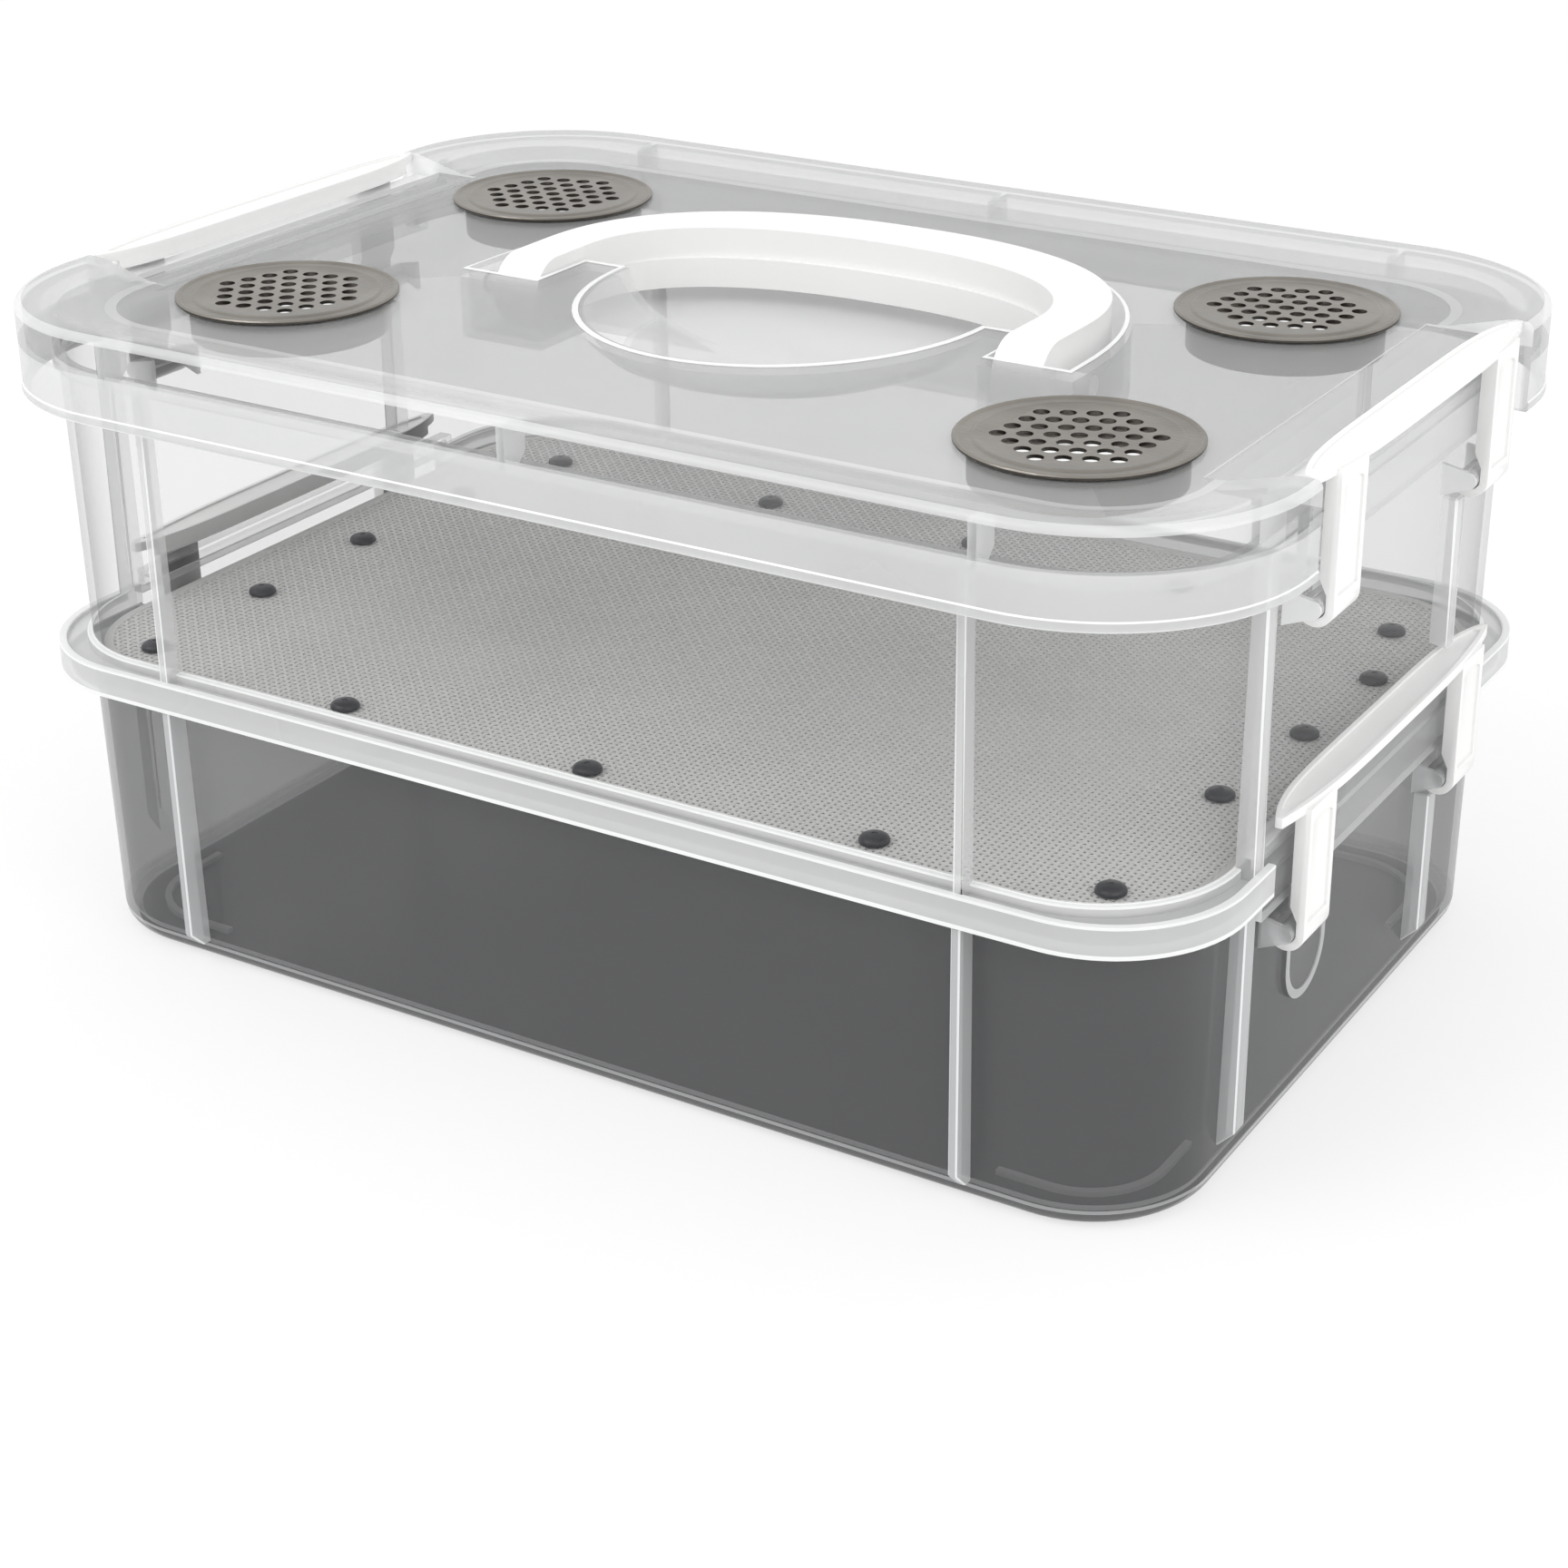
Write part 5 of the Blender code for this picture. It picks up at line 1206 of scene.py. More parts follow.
@dataclass
class FloorRivets:
    """The push rivets that hold the woven floor on its ledge."""

    head_radius: float = 0.0039
    head_rise: float = 0.0021
    shank_radius: float = 0.0018
    tail_radius: float = 0.0027
    tail_depth: float = 0.0026
    dome_power: float = 0.7
    dome_share: float = 0.8
    dimple_shares: Point2 = (0.22, 0.16)
    dimple_depth: float = 0.0002
    sides: int = 28
    shares: tuple[Point2, ...] = (
        (-0.848, -0.885), (-0.427, -0.930), (0.035, -0.930), (0.524, -0.912), (0.883, -0.867),
        (-0.860, -0.469), (-0.872, -0.044), (-0.866, 0.380),
        (0.886, -0.336), (0.907, 0.062), (0.919, 0.440),
        (-0.813, 0.735), (-0.347, 0.753), (0.077, 0.761), (0.480, 0.757), (0.870, 0.744),
    )

    def pattern(self) -> bpy.types.Object:
        """One rivet, standing on the mesh at height zero."""
        crown = GAP + self.head_rise
        tail = PLAN.seat_bottom - GAP - PLAN.mesh_top
        profile = [(0.0001, tail - self.tail_depth), (self.shank_radius * 0.7, tail - self.tail_depth)]
        profile += [
            (self.tail_radius, tail - self.tail_depth * 0.25), (self.tail_radius, tail),
            (self.shank_radius, tail),
        ]
        profile += [(self.shank_radius, GAP), (self.head_radius, GAP)]
        for step in range(6):
            turn = math.pi / 2 * step / 6
            height = crown - self.head_rise * (1 - math.sin(turn)) * self.dome_share
            profile.append((self.head_radius * math.cos(turn) ** self.dome_power, height))
        profile.append((self.head_radius * self.dimple_shares[0], crown))
        profile.append((self.head_radius * self.dimple_shares[1], crown - self.dimple_depth))
        return loft("rivet_pattern", [circle(radius, self.sides, height) for radius, height in profile])

    def tree(self) -> bpy.types.NodeTree:
        """The tree that sets one rivet on every point."""
        tree, graph, given = geometry_tree(
            "set_rivets", [("Rivet", "NodeSocketObject"), ("Material", "NodeSocketMaterial")]
        )
        source = graph.add("GeometryNodeObjectInfo")
        graph.join(given["Rivet"], source.inputs["Object"])
        spread = graph.add("GeometryNodeInstanceOnPoints")
        graph.join(given["Geometry"], spread.inputs["Points"])
        graph.join(source.outputs["Geometry"], spread.inputs["Instance"])
        end_tree(graph, spread.outputs["Instances"], given["Material"])
        return tree

    def build(self, finishes: Finishes) -> None:
        """Builds, dresses and mounts all the rivets as one piece."""
        width = PLAN.mesh_half - PLAN.length_over_width
        places = [Vector((x * PLAN.mesh_half, y * width, PLAN.mesh_top)) for x, y in self.shares]
        pattern = self.pattern()
        item = run_tree("floor_rivets", self.tree(), places, {"Rivet": pattern, "Material": finishes.black})
        bpy.data.objects.remove(pattern)
        dress(item, finishes.black, 40)
        mount(
            item, "upper_tier",
            [f"floor_rivet_{index:02d}" for index in range(1, len(places) + 1)],
        )


@dataclass
class Lid:
    """The lid: frosted plate, raised rim band, skirt, seat ring, latch notches and handle well."""

    half: float = 0.18545
    corner: float = 0.0530
    bottom: float = 0.1604
    thickness: float = 0.0020
    edge: float = 0.0020
    band_inner: float = 0.1785
    plate_half: float = 0.1598
    hem_depth: float = 0.0024
    hem_step: float = 0.0004
    frost_line: float = 0.1738
    ring_half: float = 0.1746
    ring_wall: float = 0.0020
    ring_root: float = 0.0121
    notch_wall: float = 0.0020
    bed_inset: float = 0.0038
    bed_depth: float = 0.0005
    bed_thickness: float = 0.0018
    bed_edge: float = 0.0020
    groove_reach: float = 0.0042
    gusset_place: float = 0.1270
    gusset_width: float = 0.0022
    gusset_bottom: float = 0.1710
    gusset_chamfer: float = 0.0038
    well_half: float = 0.0940
    well_reach: float = 0.0900
    well_centre: float = -0.0100
    well_wall: float = 0.0018
    well_front: float = -0.0150
    well_floor: float = 0.1623
    slot_inner: float = 0.0706
    cheek_back: float = 0.0080
    bowl_half: float = 0.0570
    bowl_reach: float = 0.0650
    bowl_shares: tuple[Point2, ...] = (
        (0.0, 0.42), (0.05, 0.54), (0.16, 0.66), (0.30, 0.77), (0.45, 0.86), (0.70, 0.94), (1.0, 1.0),
    )
    well_zone: tuple[float, ...] = (0.0965, -0.080, 0.0825, 0.155)
    bed_zone: float = 0.1770
    gusset_from: float = 0.1735
    gusset_near: float = 0.0013
    skirt_from: float = 0.1825
    inside_from: float = 0.1725
    rim_from: float = 0.1830
    face_depth: float = 0.0003
    wall_depth: float = 0.0005
    bed_margin: float = 0.0005
    groove_margin: float = 0.0004
    ceiling_margin: float = 0.0002
    inner_drop: float = 0.0030
    hem_lines: tuple[float, float, float] = (0.0006, 0.0004, 0.0008)
    plate_line: Point2 = (0.0012, 0.0022)

    @property
    def notch_inner(self) -> float:
        """Where the notches for the upper latches start."""
        return PLAN.upper_pivot[0] - PLAN.flange_reach - GAP - GAP

    def shell(self) -> bpy.types.Object:
        """The lid's skirt, rim band and plate."""
        skirt, top = self.half - self.hem_step, PLAN.lid_top
        hem_top = self.bottom + self.hem_depth
        outside = [(self.half - 0.0005, self.bottom), (self.half, self.bottom + 0.0005), (self.half, hem_top)]
        outside += [(skirt, hem_top + self.hem_step), (skirt, self.frost_line)]
        outside += quarter_arc((skirt - self.edge, top - self.edge), self.edge, 0, 7)
        outside += [
            (self.band_inner + 0.001, top), (self.band_inner - 0.001, top - 0.0003),
            (self.plate_half + 0.002, PLAN.plate_top + 0.0002),
        ]
        outside.append((self.plate_half - 0.001, PLAN.plate_top))
        under = [(self.plate_half, PLAN.plate_top - self.thickness), (self.band_inner, top - self.thickness)]
        under += [(skirt - self.thickness, top - self.thickness), (skirt - self.thickness, self.frost_line)]
        under.append((skirt - self.thickness, self.bottom))
        rings = PLAN.rings(list(reversed(outside)), self.half, self.corner)
        rings += PLAN.rings(list(reversed(under)), self.half, self.corner)
        lid = loft("lid_moulding", rings)
        notch = block(self.notch_inner, self.half + OVERRUN, self.bottom - OVERRUN, top + OVERRUN)
        half = PLAN.notch_half
        combine(
            lid, [wall_prism(f"notch_{wall.name}", wall, notch, -half, half) for wall in SHORT_WALLS],
            Join.CUT,
        )
        return lid

    def gussets(self) -> list[bpy.types.Object]:
        """The stiffening plates between the skirt and the seat ring."""
        skirt = self.half - self.hem_step - PLAN.length_over_width - self.thickness + EMBED
        ring = self.ring_half - PLAN.length_over_width - EMBED
        low = self.gusset_bottom
        profile = [(skirt, low), (ring + self.gusset_chamfer, low), (ring, low + self.gusset_chamfer)]
        profile += [(ring, PLAN.plate_top + self.thickness), (skirt, PLAN.lid_top - self.thickness + EMBED)]
        width = self.gusset_width / 2
        tools = []
        for wall in LONG_WALLS:
            for place_x in (-self.gusset_place, 0, self.gusset_place):
                span = (place_x - width, place_x + width)
                tools.append(wall_prism(f"gusset_{wall.name}_{place_x}", wall, profile, *span))
        return tools

    def notch_walls(self) -> list[bpy.types.Object]:
        """The flat beds, the latch grooves, the recessed panels and the walls at their ends."""
        floor = PLAN.upper_pivot[1] + PLAN.catch_height
        out = PLAN.upper_pivot[0] + PLAN.strap_inner - PLAN.catch_clearance
        inner, groove = out - PLAN.panel_thickness, self.notch_inner - self.groove_reach
        bed_bottom = PLAN.plate_top - self.bed_depth - self.bed_thickness
        low, high = groove - self.bed_edge, groove + EMBED
        under, above = floor - PLAN.panel_thickness, floor + EMBED
        panel = [
            (inner, self.bottom), (out, self.bottom), (out, above), (high, above), (high, PLAN.plate_top)
        ]
        panel += [
            (self.plate_half - EMBED, PLAN.plate_top - EMBED / 2), (self.plate_half - EMBED, bed_bottom)
        ]
        panel += [(low, bed_bottom), (low, under), (inner, under)]
        bed_end = [(self.plate_half + EMBED, bed_bottom), (self.band_inner, bed_bottom)]
        bed_end += [
            (self.band_inner, PLAN.lid_top - EMBED), (self.plate_half + EMBED, PLAN.plate_top - EMBED)
        ]
        skirt = self.half - self.hem_step - self.thickness / 2
        back = block(inner, skirt, self.bottom, PLAN.lid_top - self.thickness / 2)
        half = PLAN.notch_half
        tools = []
        for wall in SHORT_WALLS:
            tools.append(wall_prism(f"panel_{wall.name}", wall, panel, -half - SIDE_LAP, half + SIDE_LAP))
            for side in (1, -1):
                for name, profile in (("return", back), ("bed_end", bed_end)):
                    span = (side * half, side * (half + self.notch_wall))
                    tools.append(wall_prism(f"{name}_{wall.name}_{side}", wall, profile, *span))
        return tools

    def latch_beds(self) -> list[bpy.types.Object]:
        """The clearance over the flat beds and the latch grooves."""
        floor = PLAN.upper_pivot[1] + PLAN.catch_height
        bed, top = self.plate_half - self.bed_inset, PLAN.plate_top - self.bed_depth
        groove = self.notch_inner - self.groove_reach
        out, above, half = self.half + OVERRUN, PLAN.lid_top + OVERRUN, PLAN.notch_half
        profile = [(bed, top), (groove, top), (groove, floor), (out, floor), (out, above), (bed, above)]
        return [wall_prism(f"latch_bed_{wall.name}", wall, profile, -half, half) for wall in SHORT_WALLS]

    def well_ring(self, grow: float, opening: float, height: float) -> list[Vector]:
        """The well's outline at one height.

        Args:
            grow: How far outside the hollow the outline runs.
            opening: How far the finger bowl opens there.
            height: The height.

        Returns:
            The outline's points.
        """
        half, front = self.well_half + grow, self.well_front - grow
        slot, cheek = self.slot_inner - grow, self.cheek_back - grow
        points = [Vector((half, front, height))]
        points += [
            Vector((x, self.well_centre + y, height))
            for x, y in squared_ellipse(half, self.well_reach + grow, 44)
        ]
        points += [
            Vector((-half, front, height)), Vector((-slot, front, height)), Vector((-slot, cheek, height))
        ]
        bowl, reach = self.bowl_half * opening + grow, self.bowl_reach * opening
        for step in range(37):
            angle = math.pi * step / 36
            points.append(Vector((-bowl * math.cos(angle), cheek - reach * math.sin(angle), height)))
        points += [Vector((slot, cheek, height)), Vector((slot, front, height))]
        return points

    def well(self, name: str, grow: float, bottom: float, top: float) -> bpy.types.Object:
        """The well's hollow, or with grow the solid that leaves its walls."""
        depth = PLAN.plate_top - self.well_floor
        rings = [self.well_ring(grow, self.bowl_shares[0][1], bottom)]
        rings += [
            self.well_ring(grow, opening, self.well_floor + depth * share)
            for share, opening in self.bowl_shares[1:-1]
        ]
        rings.append(self.well_ring(grow, self.bowl_shares[-1][1], top))
        return loft(name, rings)

    def well_bead(self) -> bpy.types.Object:
        """The fine raised line round the top of the well."""
        low, high, out = PLAN.plate_top - 0.0005, PLAN.plate_top + 0.0004, 0.0011
        section = ((out, low), (out, high - 0.0002), (out - 0.0003, high), (-0.0003, high), (-0.0003, low))
        return loft("well_bead", [self.well_ring(grow, 1.0, height) for grow, height in section], closed=True)

    def openings(self) -> list[bpy.types.Object]:
        """The well's hollow, its pin holes and the grille holes."""
        cuts = [self.well("well_hollow", 0, self.well_floor, PLAN.plate_top + OVERRUN)]
        for side in (1, -1):
            radius, start = PLAN.pin_radius + GAP, side * (PLAN.handle_half + GAP)
            turns = [2 * math.pi * index / 24 for index in range(24)]
            across, up = PLAN.handle_pivot
            spots = [(across + radius * math.cos(turn), up + radius * math.sin(turn)) for turn in turns]
            ring = [Vector((start, along, height)) for along, height in spots]
            travel = self.well_half + self.well_wall + OVERRUN - PLAN.handle_half
            cuts.append(prism(f"pin_hole_{side}", ring, Vector((side * travel, 0, 0))))
        base = PLAN.plate_top - self.thickness - OVERRUN
        for side_x in (1, -1):
            for side_y in (1, -1):
                centre = Vector((side_x * PLAN.vent_place[0], side_y * PLAN.vent_place[1], 0))
                ring = [point + centre for point in circle(PLAN.barrel_radius + GAP, 48, base)]
                cuts.append(
                    prism(f"vent_hole_{side_x}_{side_y}", ring, Vector((0, 0, self.thickness + 2 * OVERRUN)))
                )
        return cuts

    def look(self, centre: Vector, normal: Vector) -> Look:
        """How hazy and pale each face is."""
        reach = PLAN.reach(centre, self.half, self.corner)
        if abs(centre.x) < self.well_zone[0] and self.well_zone[1] < centre.y < self.well_zone[2]:
            if centre.z > PLAN.plate_top - self.face_depth and reach < self.well_zone[3]:
                # Painted highlight on the top of the well's bead.
                return Looks.FACE_HIGHLIGHT if centre.z > PLAN.plate_top + NEAR else Looks.PLATE
            if centre.z < PLAN.plate_top - self.wall_depth:
                return Looks.WELL_WALL if abs(normal.z) < ON_AXIS else Looks.WELL_FLOOR
        near_bed = reach > self.plate_half - self.bed_inset - self.bed_margin and centre.z > self.bed_zone
        if near_bed and abs(centre.y) < PLAN.notch_half + NEAR:
            # Painted highlights on the tops and the end walls at the latch beds.
            if centre.z > PLAN.plate_top - self.face_depth or abs(normal.y) > ON_AXIS:
                return Looks.FACE_HIGHLIGHT
            in_groove = reach > self.notch_inner - self.groove_reach - self.groove_margin
            return Looks.LATCH_GROOVE if in_groove else Looks.LATCH_BED
        near_gusset = min(abs(abs(centre.x) - self.gusset_place), abs(centre.x))
        # Painted highlight: the gussets' flat faces are painted near white.
        if near_gusset < self.gusset_near and abs(normal.x) > ON_AXIS and reach > self.gusset_from:
            return Looks.FACE_HIGHLIGHT
        hem_top = self.bottom + self.hem_depth
        if reach > self.skirt_from and centre.z < PLAN.lid_top - self.edge:
            foot_line, below, above = self.hem_lines
            # Painted highlights: bright lines at the skirt's foot and at the hem step.
            if centre.z < self.bottom + foot_line or hem_top - below < centre.z < hem_top + above:
                return Looks.HIGHLIGHT_AND_PALE
            return Looks.SKIRT if centre.z < self.frost_line else Looks.SKIRT_CLEAR
        if reach > self.inside_from and centre.z < PLAN.lid_top - self.thickness - self.ceiling_margin:
            return Looks.INNER_LOW if centre.z < self.frost_line - self.inner_drop else Looks.INNER_HIGH
        # Painted highlight on the rounded outer edge of the rim band.
        if reach > self.rim_from:
            return Looks.BAND_EDGE_HIGHLIGHT
        if reach > self.plate_half + self.plate_line[1]:
            return Looks.BAND
        # Painted highlight on the slope between the plate and the rim band.
        return Looks.PLATE_EDGE_HIGHLIGHT if reach > self.plate_half - self.plate_line[0] else Looks.PLATE

    def build(self, finishes: Finishes) -> None:
        """Builds, dresses and mounts the lid."""
        lid = self.shell()
        ring_inner, base = self.ring_half - self.ring_wall, PLAN.upper_top + GAP
        seat = [
            (ring_inner, base), (self.ring_half, base), (self.ring_half, base + self.ring_root),
            (ring_inner, base + self.ring_root),
        ]
        tools = [loft("seat_ring", PLAN.rings(seat, PLAN.upper_foot, PLAN.upper_corner), closed=True)]
        tools += self.notch_walls() + self.gussets()
        tools.append(
            self.well("well_walls", self.well_wall, self.well_floor - self.well_wall, PLAN.plate_top - EMBED)
        )
        tools.append(self.well_bead())
        combine(lid, tools, Join.ADD)
        combine(lid, self.latch_beds() + self.openings(), Join.CUT)
        paint(lid, self.look)
        dress(lid, finishes.clear)
        mount(lid, "lid_set", ["lid"])


@dataclass
class CarryHandle:
    """The white handle: two legs on pins and a broad stepped arch."""

    top: float = 0.0107
    height: float = 0.0172
    step_down: float = 0.0094
    step_in: float = 0.0016
    inner_half: float = 0.0713
    straight: float = 0.0140
    outer_reach: float = 0.0640
    inner_reach: float = 0.0440
    pin_end: float = 0.0954
    edge: float = 0.0009

    def arch(self, inner_reach: float, height: float) -> list[Vector]:
        """The handle's plan at one height."""
        outer = [(PLAN.handle_half, 0.0)]
        outer += [(x, self.straight + y) for x, y in squared_ellipse(PLAN.handle_half, self.outer_reach, 56)]
        outer.append((-PLAN.handle_half, 0.0))
        inner = [(self.inner_half, 0.0)]
        inner += [(x, self.straight + y) for x, y in squared_ellipse(self.inner_half, inner_reach, 56)]
        inner.append((-self.inner_half, 0.0))
        return [Vector((x, y, height)) for x, y in outer + inner[::-1]]

    def build(self, finishes: Finishes) -> None:
        """Builds, dresses and mounts the handle."""
        step, bottom = self.top - self.step_down, self.top - self.height
        handle = prism(
            "carry_handle_moulding", self.arch(self.inner_reach, step), Vector((0, 0, self.top - step))
        )
        lower = self.arch(self.inner_reach - self.step_in, bottom)
        tools = [prism("handle_lower", lower, Vector((0, 0, step - bottom + EMBED)))]
        turns = [2 * math.pi * index / 48 for index in range(48)]
        for side in (1, -1):
            start = side * self.inner_half
            ring = [Vector((start, self.top * math.cos(turn), self.top * math.sin(turn))) for turn in turns]
            tools.append(
                prism(f"leg_end_{side}", ring, Vector((side * (PLAN.handle_half - self.inner_half), 0, 0)))
            )
        combine(handle, tools, Join.ADD)
        soften_edges(handle, self.edge, 3)
        pins = []
        for side in (1, -1):
            start = side * (PLAN.handle_half - EMBED)
            ring = [
                Vector((start, PLAN.pin_radius * math.cos(turn), PLAN.pin_radius * math.sin(turn)))
                for turn in turns[::2]
            ]
            pins.append(
                prism(f"pin_{side}", ring, Vector((side * (self.pin_end - PLAN.handle_half + EMBED), 0, 0)))
            )
        combine(handle, pins, Join.ADD)
        place(handle, Matrix.Translation((0, *PLAN.handle_pivot)))
        dress(handle, finishes.white)
        mount(handle, "handle", ["carry_handle"])


@dataclass
class Grilles:
    """The four round steel grilles: rolled rim, stepped ring, pierced disc and barrel."""

    radius: float = 0.0300
    depth: float = 0.0012
    barrel_wall: float = 0.0010
    barrel_depth: float = 0.0095
    step_share: float = 0.835
    hole_radius: float = 0.0021
    pitch: float = 0.0064
    rings: int = 3
    sides: int = 72
    turns: dict[str, float] = field(
        default_factory=lambda: {
            "front_left": 8.0, "front_right": 25.0, "back_left": 14.0, "back_right": 20.0
        }
    )

    def body(self) -> bpy.types.Object:
        """The grille without its holes, seated at height zero."""
        seat, top = GAP, GAP + self.depth
        ring = self.radius * self.step_share
        profile = [
            (PLAN.barrel_radius - self.barrel_wall, seat),
            (PLAN.barrel_radius - self.barrel_wall, -self.barrel_depth),
        ]
        profile += [
            (PLAN.barrel_radius, -self.barrel_depth), (PLAN.barrel_radius, seat), (self.radius - 0.0003, seat)
        ]
        profile += [
            (self.radius, seat + 0.0003), (self.radius, top - 0.0004), (self.radius - 0.0003, top - 0.0001)
        ]
        profile += [
            (self.radius - 0.0007, top), (self.radius - 0.0013, top - 0.0002),
            (self.radius - 0.0017, top - 0.00045),
        ]
        profile += [
            (ring + 0.0007, top - 0.0005), (ring + 0.0002, top - 0.0002), (ring - 0.0004, top - 0.0001)
        ]
        profile += [(ring - 0.0010, top - 0.0003)]
        rings = [circle(out, self.sides, height) for out, height in profile]
        return loft("grille_body", rings)

    def centres(self) -> list[Vector]:
        """The hole centres of one grille."""
        spots = []
        for row in range(-self.rings, self.rings + 1):
            count = 2 * self.rings + 1 - abs(row)
            for index in range(count):
                along = self.pitch * (index - (count - 1) / 2)
                spots.append(Vector((along, row * self.pitch * math.sin(math.pi / 3), 0)))
        return spots

    def tree(self) -> bpy.types.NodeTree:
        """The tree that pierces a disc at every point."""
        inputs = [
            ("Body", "NodeSocketObject"), ("Hole Radius", "NodeSocketFloat"),
            ("Hole Depth", "NodeSocketFloat"),
        ]
        tree, graph, given = geometry_tree("pierce_grille", inputs + [("Material", "NodeSocketMaterial")])
        drill = graph.add("GeometryNodeMeshCylinder")
        drill.inputs["Vertices"].default_value = 18
        graph.join(given["Hole Radius"], drill.inputs["Radius"])
        graph.join(given["Hole Depth"], drill.inputs["Depth"])
        spread = graph.add("GeometryNodeInstanceOnPoints")
        graph.join(given["Geometry"], spread.inputs["Points"])
        graph.join(drill.outputs["Mesh"], spread.inputs["Instance"])
        holes = graph.add("GeometryNodeRealizeInstances")
        graph.join(spread.outputs["Instances"], holes.inputs["Geometry"])
        source = graph.add("GeometryNodeObjectInfo")
        graph.join(given["Body"], source.inputs["Object"])
        pierced = graph.add("GeometryNodeMeshBoolean", operation="DIFFERENCE", solver="EXACT")
        graph.join(source.outputs["Geometry"], pierced.inputs["Mesh 1"])
        graph.join(holes.outputs["Geometry"], pierced.inputs["Mesh 2"])
        end_tree(graph, pierced.outputs["Mesh"], given["Material"])
        return tree

    def look(self, centre: Vector, normal: Vector) -> tuple[float, float]:
        """Full steel colour on the upward top faces and painted shade in the holes and the barrel."""
        return 1.0, (1.0 if centre.z > PLAN.plate_top + self.depth - 0.0006 and normal.z > 0.05 else 0.05)

    def build(self, finishes: Finishes) -> None:
        """Builds, dresses and mounts the four grilles."""
        body = self.body()
        values = {
            "Body": body, "Hole Radius": self.hole_radius, "Hole Depth": 2 * OVERRUN,
            "Material": finishes.steel,
        }
        pattern = run_tree("grille_pattern", self.tree(), self.centres(), values)
        bpy.data.objects.remove(body)
        for name, turn in self.turns.items():
            side_y, side_x = (1 if word in ("back", "right") else -1 for word in name.split("_"))
            grille = new_object(f"grille_{name}", pattern.data.copy())
            spot = Matrix.Translation(
                (side_x * PLAN.vent_place[0], side_y * PLAN.vent_place[1], PLAN.plate_top)
            )
            place(grille, spot @ Matrix.Rotation(math.radians(turn), 4, "Z"))
            paint(grille, self.look)
            dress(grille, finishes.steel, 30)
            mount(grille, "lid_set", [f"vent_{name}"])
        bpy.data.objects.remove(pattern)


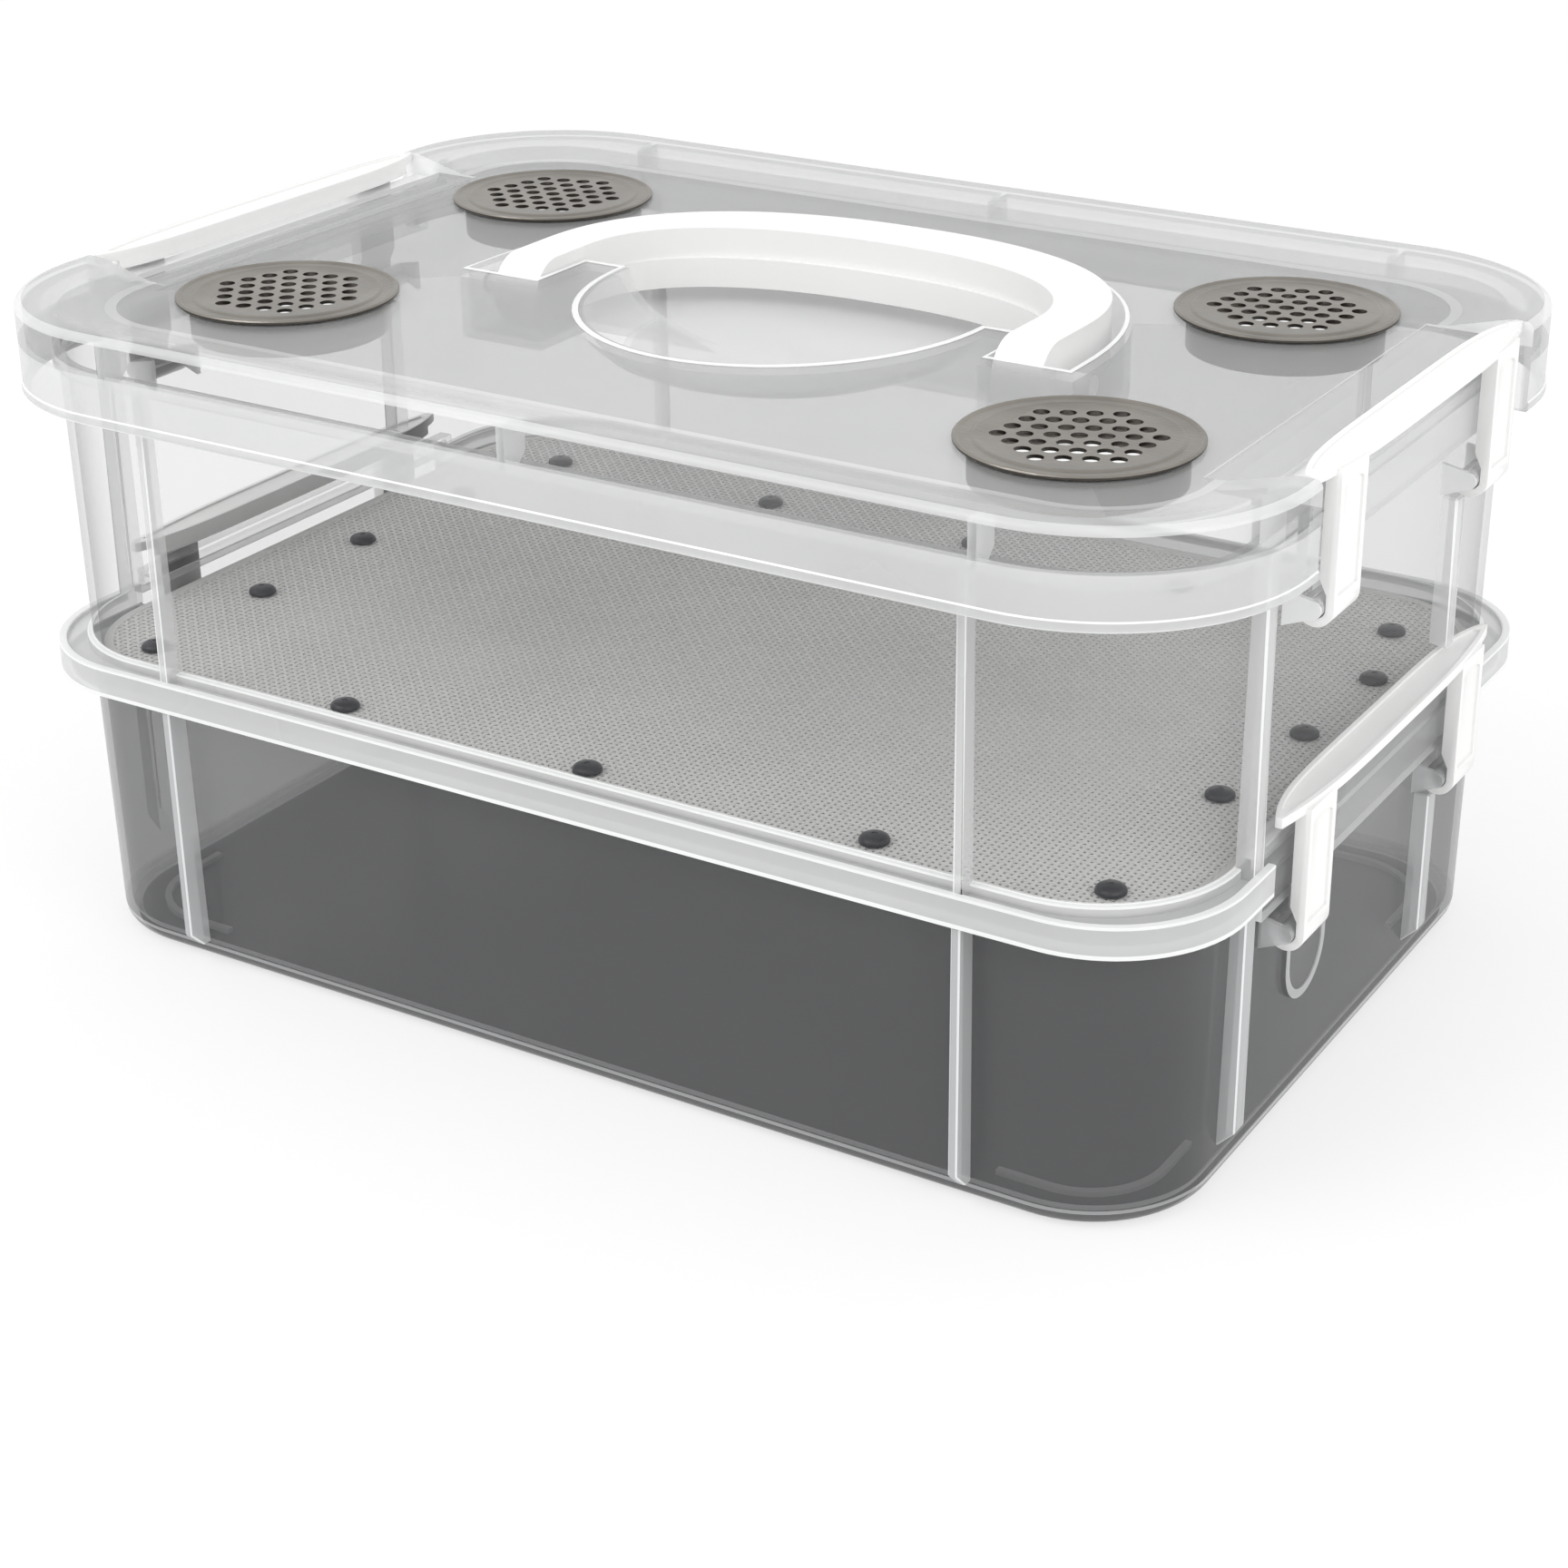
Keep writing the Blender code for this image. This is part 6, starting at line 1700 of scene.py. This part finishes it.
@dataclass
class Latches:
    """The four white latches: a lens-shaped flange with a lip, two ridged straps and their J hooks."""

    half: float = 0.0695
    flange_outer: float = 0.0051
    tip_inner: float = 0.0002
    tip_outer: float = 0.0016
    inner_power: float = 6.0
    outer_power: float = 4.0
    dish: float = 0.0006
    dish_margin: float = 0.0013
    lip_wall: float = 0.0012
    lip_share: float = 0.93
    strap_outer: float = 0.0047
    hook_wall: float = 0.0021
    shoulder: float = 0.0030
    shoulder_rise: float = 0.0018
    recess: float = 0.0007
    recess_span: Point2 = (0.0030, 0.0285)
    recess_arch: float = 0.0020
    ridge: float = 0.0022
    edge: float = 0.0005

    def edges(self, shares: Sequence[float], inset: float = 0.0) -> tuple[list[Point2], list[Point2]]:
        """The flange's outer and inner edge in plan.

        Args:
            shares: Where along the half length to read them, from -1 to 1.
            inset: How far inside the flange they run.

        Returns:
            The points of each edge, as (outward, along).
        """
        outer, inner = [], []
        for share in shares:
            bend_out, bend_in = abs(share) ** self.outer_power, abs(share) ** self.inner_power
            out = self.flange_outer - inset - (self.flange_outer - self.tip_outer) * bend_out
            back = inset - PLAN.flange_reach + (PLAN.flange_reach - self.tip_inner) * bend_in
            outer.append((out, self.half * share))
            inner.append((back, self.half * share))
        return outer, inner

    def flange(self) -> bpy.types.Object:
        """The flange that closes over the tier above, with the lip under its inner edge."""
        under = PLAN.latch_top - PLAN.flange_depth
        outer, inner = self.edges([index / 24 - 1 for index in range(49)])
        outline = [Vector((x, y, under)) for x, y in outer + inner[::-1]]
        latch = prism("latch", outline, Vector((0, 0, PLAN.flange_depth)))
        edge = [point for point in inner if abs(point[1]) < self.half * self.lip_share]
        points = edge + [(x + self.lip_wall, y) for x, y in edge[::-1]]
        lip = [Vector((x, y, under - PLAN.lip_depth)) for x, y in points]
        combine(latch, [prism("lip", lip, Vector((0, 0, PLAN.lip_depth + EMBED)))], Join.ADD)
        return latch

    def hollow(self) -> bpy.types.Object:
        """The shallow dish in the flange's top."""
        outer, inner = self.edges([(index / 20 - 1) * 0.93 for index in range(41)], self.dish_margin)
        outline = [Vector((x, y, PLAN.latch_top - self.dish)) for x, y in outer + inner[::-1]]
        return prism("dish", outline, Vector((0, 0, self.dish + OVERRUN)))

    def straps(self) -> list[bpy.types.Object]:
        """The straps with their hooks."""
        inner_radius = PLAN.bar_radius + GAP
        outer_radius = inner_radius + self.hook_wall
        root = PLAN.latch_top - PLAN.flange_depth / 2
        turns = [-math.pi * step / 20 for step in range(21)]
        profile = [(self.strap_outer, root)]
        profile += [(outer_radius * math.cos(turn), outer_radius * math.sin(turn)) for turn in turns]
        profile += [(inner_radius * math.cos(turn), inner_radius * math.sin(turn)) for turn in turns[::-1]]
        low = inner_radius + self.shoulder_rise
        profile += [
            (inner_radius, low - self.shoulder_rise / 2), (PLAN.strap_inner, low + self.shoulder),
            (PLAN.strap_inner, root),
        ]
        tools = []
        for side in (1, -1):
            points = [Vector((x, side * PLAN.leg_low, z)) for x, z in profile]
            tools.append(
                prism(f"strap_{side}", points, Vector((0, side * (PLAN.leg_high - PLAN.leg_low), 0)))
            )
        return tools

    def recesses(self) -> list[bpy.types.Object]:
        """The shallow panels sunk into the outer face of each strap, arched at the top."""
        tools = []
        start = self.strap_outer - self.recess
        middle, half = (PLAN.leg_low + PLAN.leg_high) / 2, (PLAN.leg_high - PLAN.leg_low) / 2 - self.ridge
        turns = [math.pi * step / 12 for step in range(13)]
        low, high = self.recess_span
        outline = [(middle - half, low), (middle + half, low)]
        outline += [
            (middle + half * math.cos(turn), high + self.recess_arch * math.sin(turn)) for turn in turns
        ]
        for side in (1, -1):
            points = [Vector((start, side * along, height)) for along, height in outline]
            tools.append(prism(f"recess_{side}", points, Vector((self.recess + OVERRUN, 0, 0))))
        return tools

    def build(self, finishes: Finishes) -> None:
        """Builds, dresses and mounts the four latches."""
        pattern = self.flange()
        combine(pattern, self.straps(), Join.ADD)
        combine(pattern, self.recesses() + [self.hollow()], Join.CUT)
        soften_edges(pattern, self.edge, 2)
        for tier, pivot in (("lower", PLAN.lower_pivot), ("upper", PLAN.upper_pivot)):
            for side, turn in (("right", 0.0), ("left", math.pi)):
                latch = new_object(f"{tier}_latch_{side}_moulding", pattern.data.copy())
                spot = Matrix.Translation((pivot[0] * math.cos(turn), 0, pivot[1]))
                place(latch, spot @ Matrix.Rotation(turn, 4, "Z"))
                dress(latch, finishes.white)
                mount(latch, f"latch_{tier}_{side}", [f"{tier}_latch_{side}"])
        bpy.data.objects.remove(pattern)


@dataclass
class Studio:
    """The pale floor, the soft lights and the camera."""

    floor_size: float = 8.0
    floor_colour: Colour = (0.36, 0.36, 0.36)
    floor_glow: float = 0.62
    floor_drop: float = 0.0002
    floor_dull: float = 0.985
    floor_roughness: float = 0.9
    floor_specular: float = 0.1
    sky_strength: float = 0.97
    lamps: tuple[tuple[str, tuple[float, float, float], float, float], ...] = (
        ("key", (-0.7, -1.1, 1.5), 1.2, 9.0),
        ("fill", (1.3, -0.5, 0.9), 1.0, 5.0),
    )
    camera_place: tuple[float, float, float] = (0.4181, -0.6648, 0.4088)
    azimuth: float = 30.39
    elevation: float = 24.48
    lens: float = 69.13
    shift: Point2 = (-0.0569, -0.0287)
    sensor_width: float = 36.0
    clip: Point2 = (0.01, 50.0)
    aim: tuple[float, float, float] = (0, 0, 0.09)

    def floor(self) -> None:
        """A plain pale floor."""
        shape = bmesh.new()
        bmesh.ops.create_grid(shape, x_segments=1, y_segments=1, size=self.floor_size / 2)
        ground = object_of("studio_floor", shape)
        place(ground, Matrix.Translation((0, 0, -self.floor_drop)))
        material = bpy.data.materials.new("pale_floor")
        material.use_nodes = True
        graph = Graph(material.node_tree)
        shader = material.node_tree.nodes["Principled BSDF"]
        position = graph.add("ShaderNodeTexCoord").outputs["Object"]
        dull = tuple(value * self.floor_dull for value in self.floor_colour)
        tone = graph.mix(graph.noise(position, 3.0), (*dull, 1.0), (*self.floor_colour, 1.0))
        graph.join(tone, shader.inputs["Base Color"])
        shader.inputs["Roughness"].default_value = self.floor_roughness
        shader.inputs["Specular IOR Level"].default_value = self.floor_specular
        shader.inputs["Emission Color"].default_value = (1.0, 1.0, 1.0, 1.0)
        shader.inputs["Emission Strength"].default_value = self.floor_glow
        ground.data.materials.append(material)

    def light(self, name: str, place_at: tuple[float, float, float], size: float, power: float) -> None:
        """One soft lamp that looks at the box."""
        data = bpy.data.lights.new(name, "AREA")
        data.shape = "DISK"
        data.size = size
        data.energy = power
        lamp = bpy.data.objects.new(name, data)
        lamp.location = place_at
        gaze = Vector(self.aim) - Vector(place_at)
        lamp.rotation_euler = gaze.to_track_quat("-Z", "Y").to_euler()
        bpy.context.scene.collection.objects.link(lamp)

    def sky(self) -> None:
        """Even white light from all round."""
        world = bpy.data.worlds.new("studio_sky")
        world.use_nodes = True
        back = world.node_tree.nodes["Background"]
        back.inputs["Color"].default_value = (1.0, 1.0, 1.0, 1.0)
        back.inputs["Strength"].default_value = self.sky_strength
        bpy.context.scene.world = world

    def camera(self) -> None:
        """The camera at the photograph's angle."""
        data = bpy.data.cameras.new("view")
        data.lens = self.lens
        data.sensor_width = self.sensor_width
        data.shift_x, data.shift_y = self.shift
        data.clip_start, data.clip_end = self.clip
        camera = bpy.data.objects.new("view", data)
        camera.location = self.camera_place
        turn, rise = math.radians(self.azimuth), math.radians(self.elevation)
        back = Vector((math.sin(turn) * math.cos(rise), -math.cos(turn) * math.cos(rise), math.sin(rise)))
        camera.rotation_euler = (-back).to_track_quat("-Z", "Y").to_euler()
        bpy.context.scene.collection.objects.link(camera)
        bpy.context.scene.camera = camera

    def build(self) -> None:
        """Sets up the whole studio."""
        self.floor()
        self.sky()
        for lamp in self.lamps:
            self.light(*lamp)
        self.camera()
        bpy.context.scene.view_settings.view_transform = "Standard"


def main() -> None:
    """Builds the studio and every sub-assembly, from the bottom up."""
    logging.basicConfig(level=logging.INFO, format="%(name)s: %(message)s")
    Studio().build()
    finishes = Finishes()
    for part in (
        LowerTub(), UpperTub(), WovenFloor(), FloorRivets(), Lid(), CarryHandle(), Grilles(), Latches()
    ):
        log.info("building %s", type(part).__name__)
        part.build(finishes)


if __name__ == "__main__":
    main()
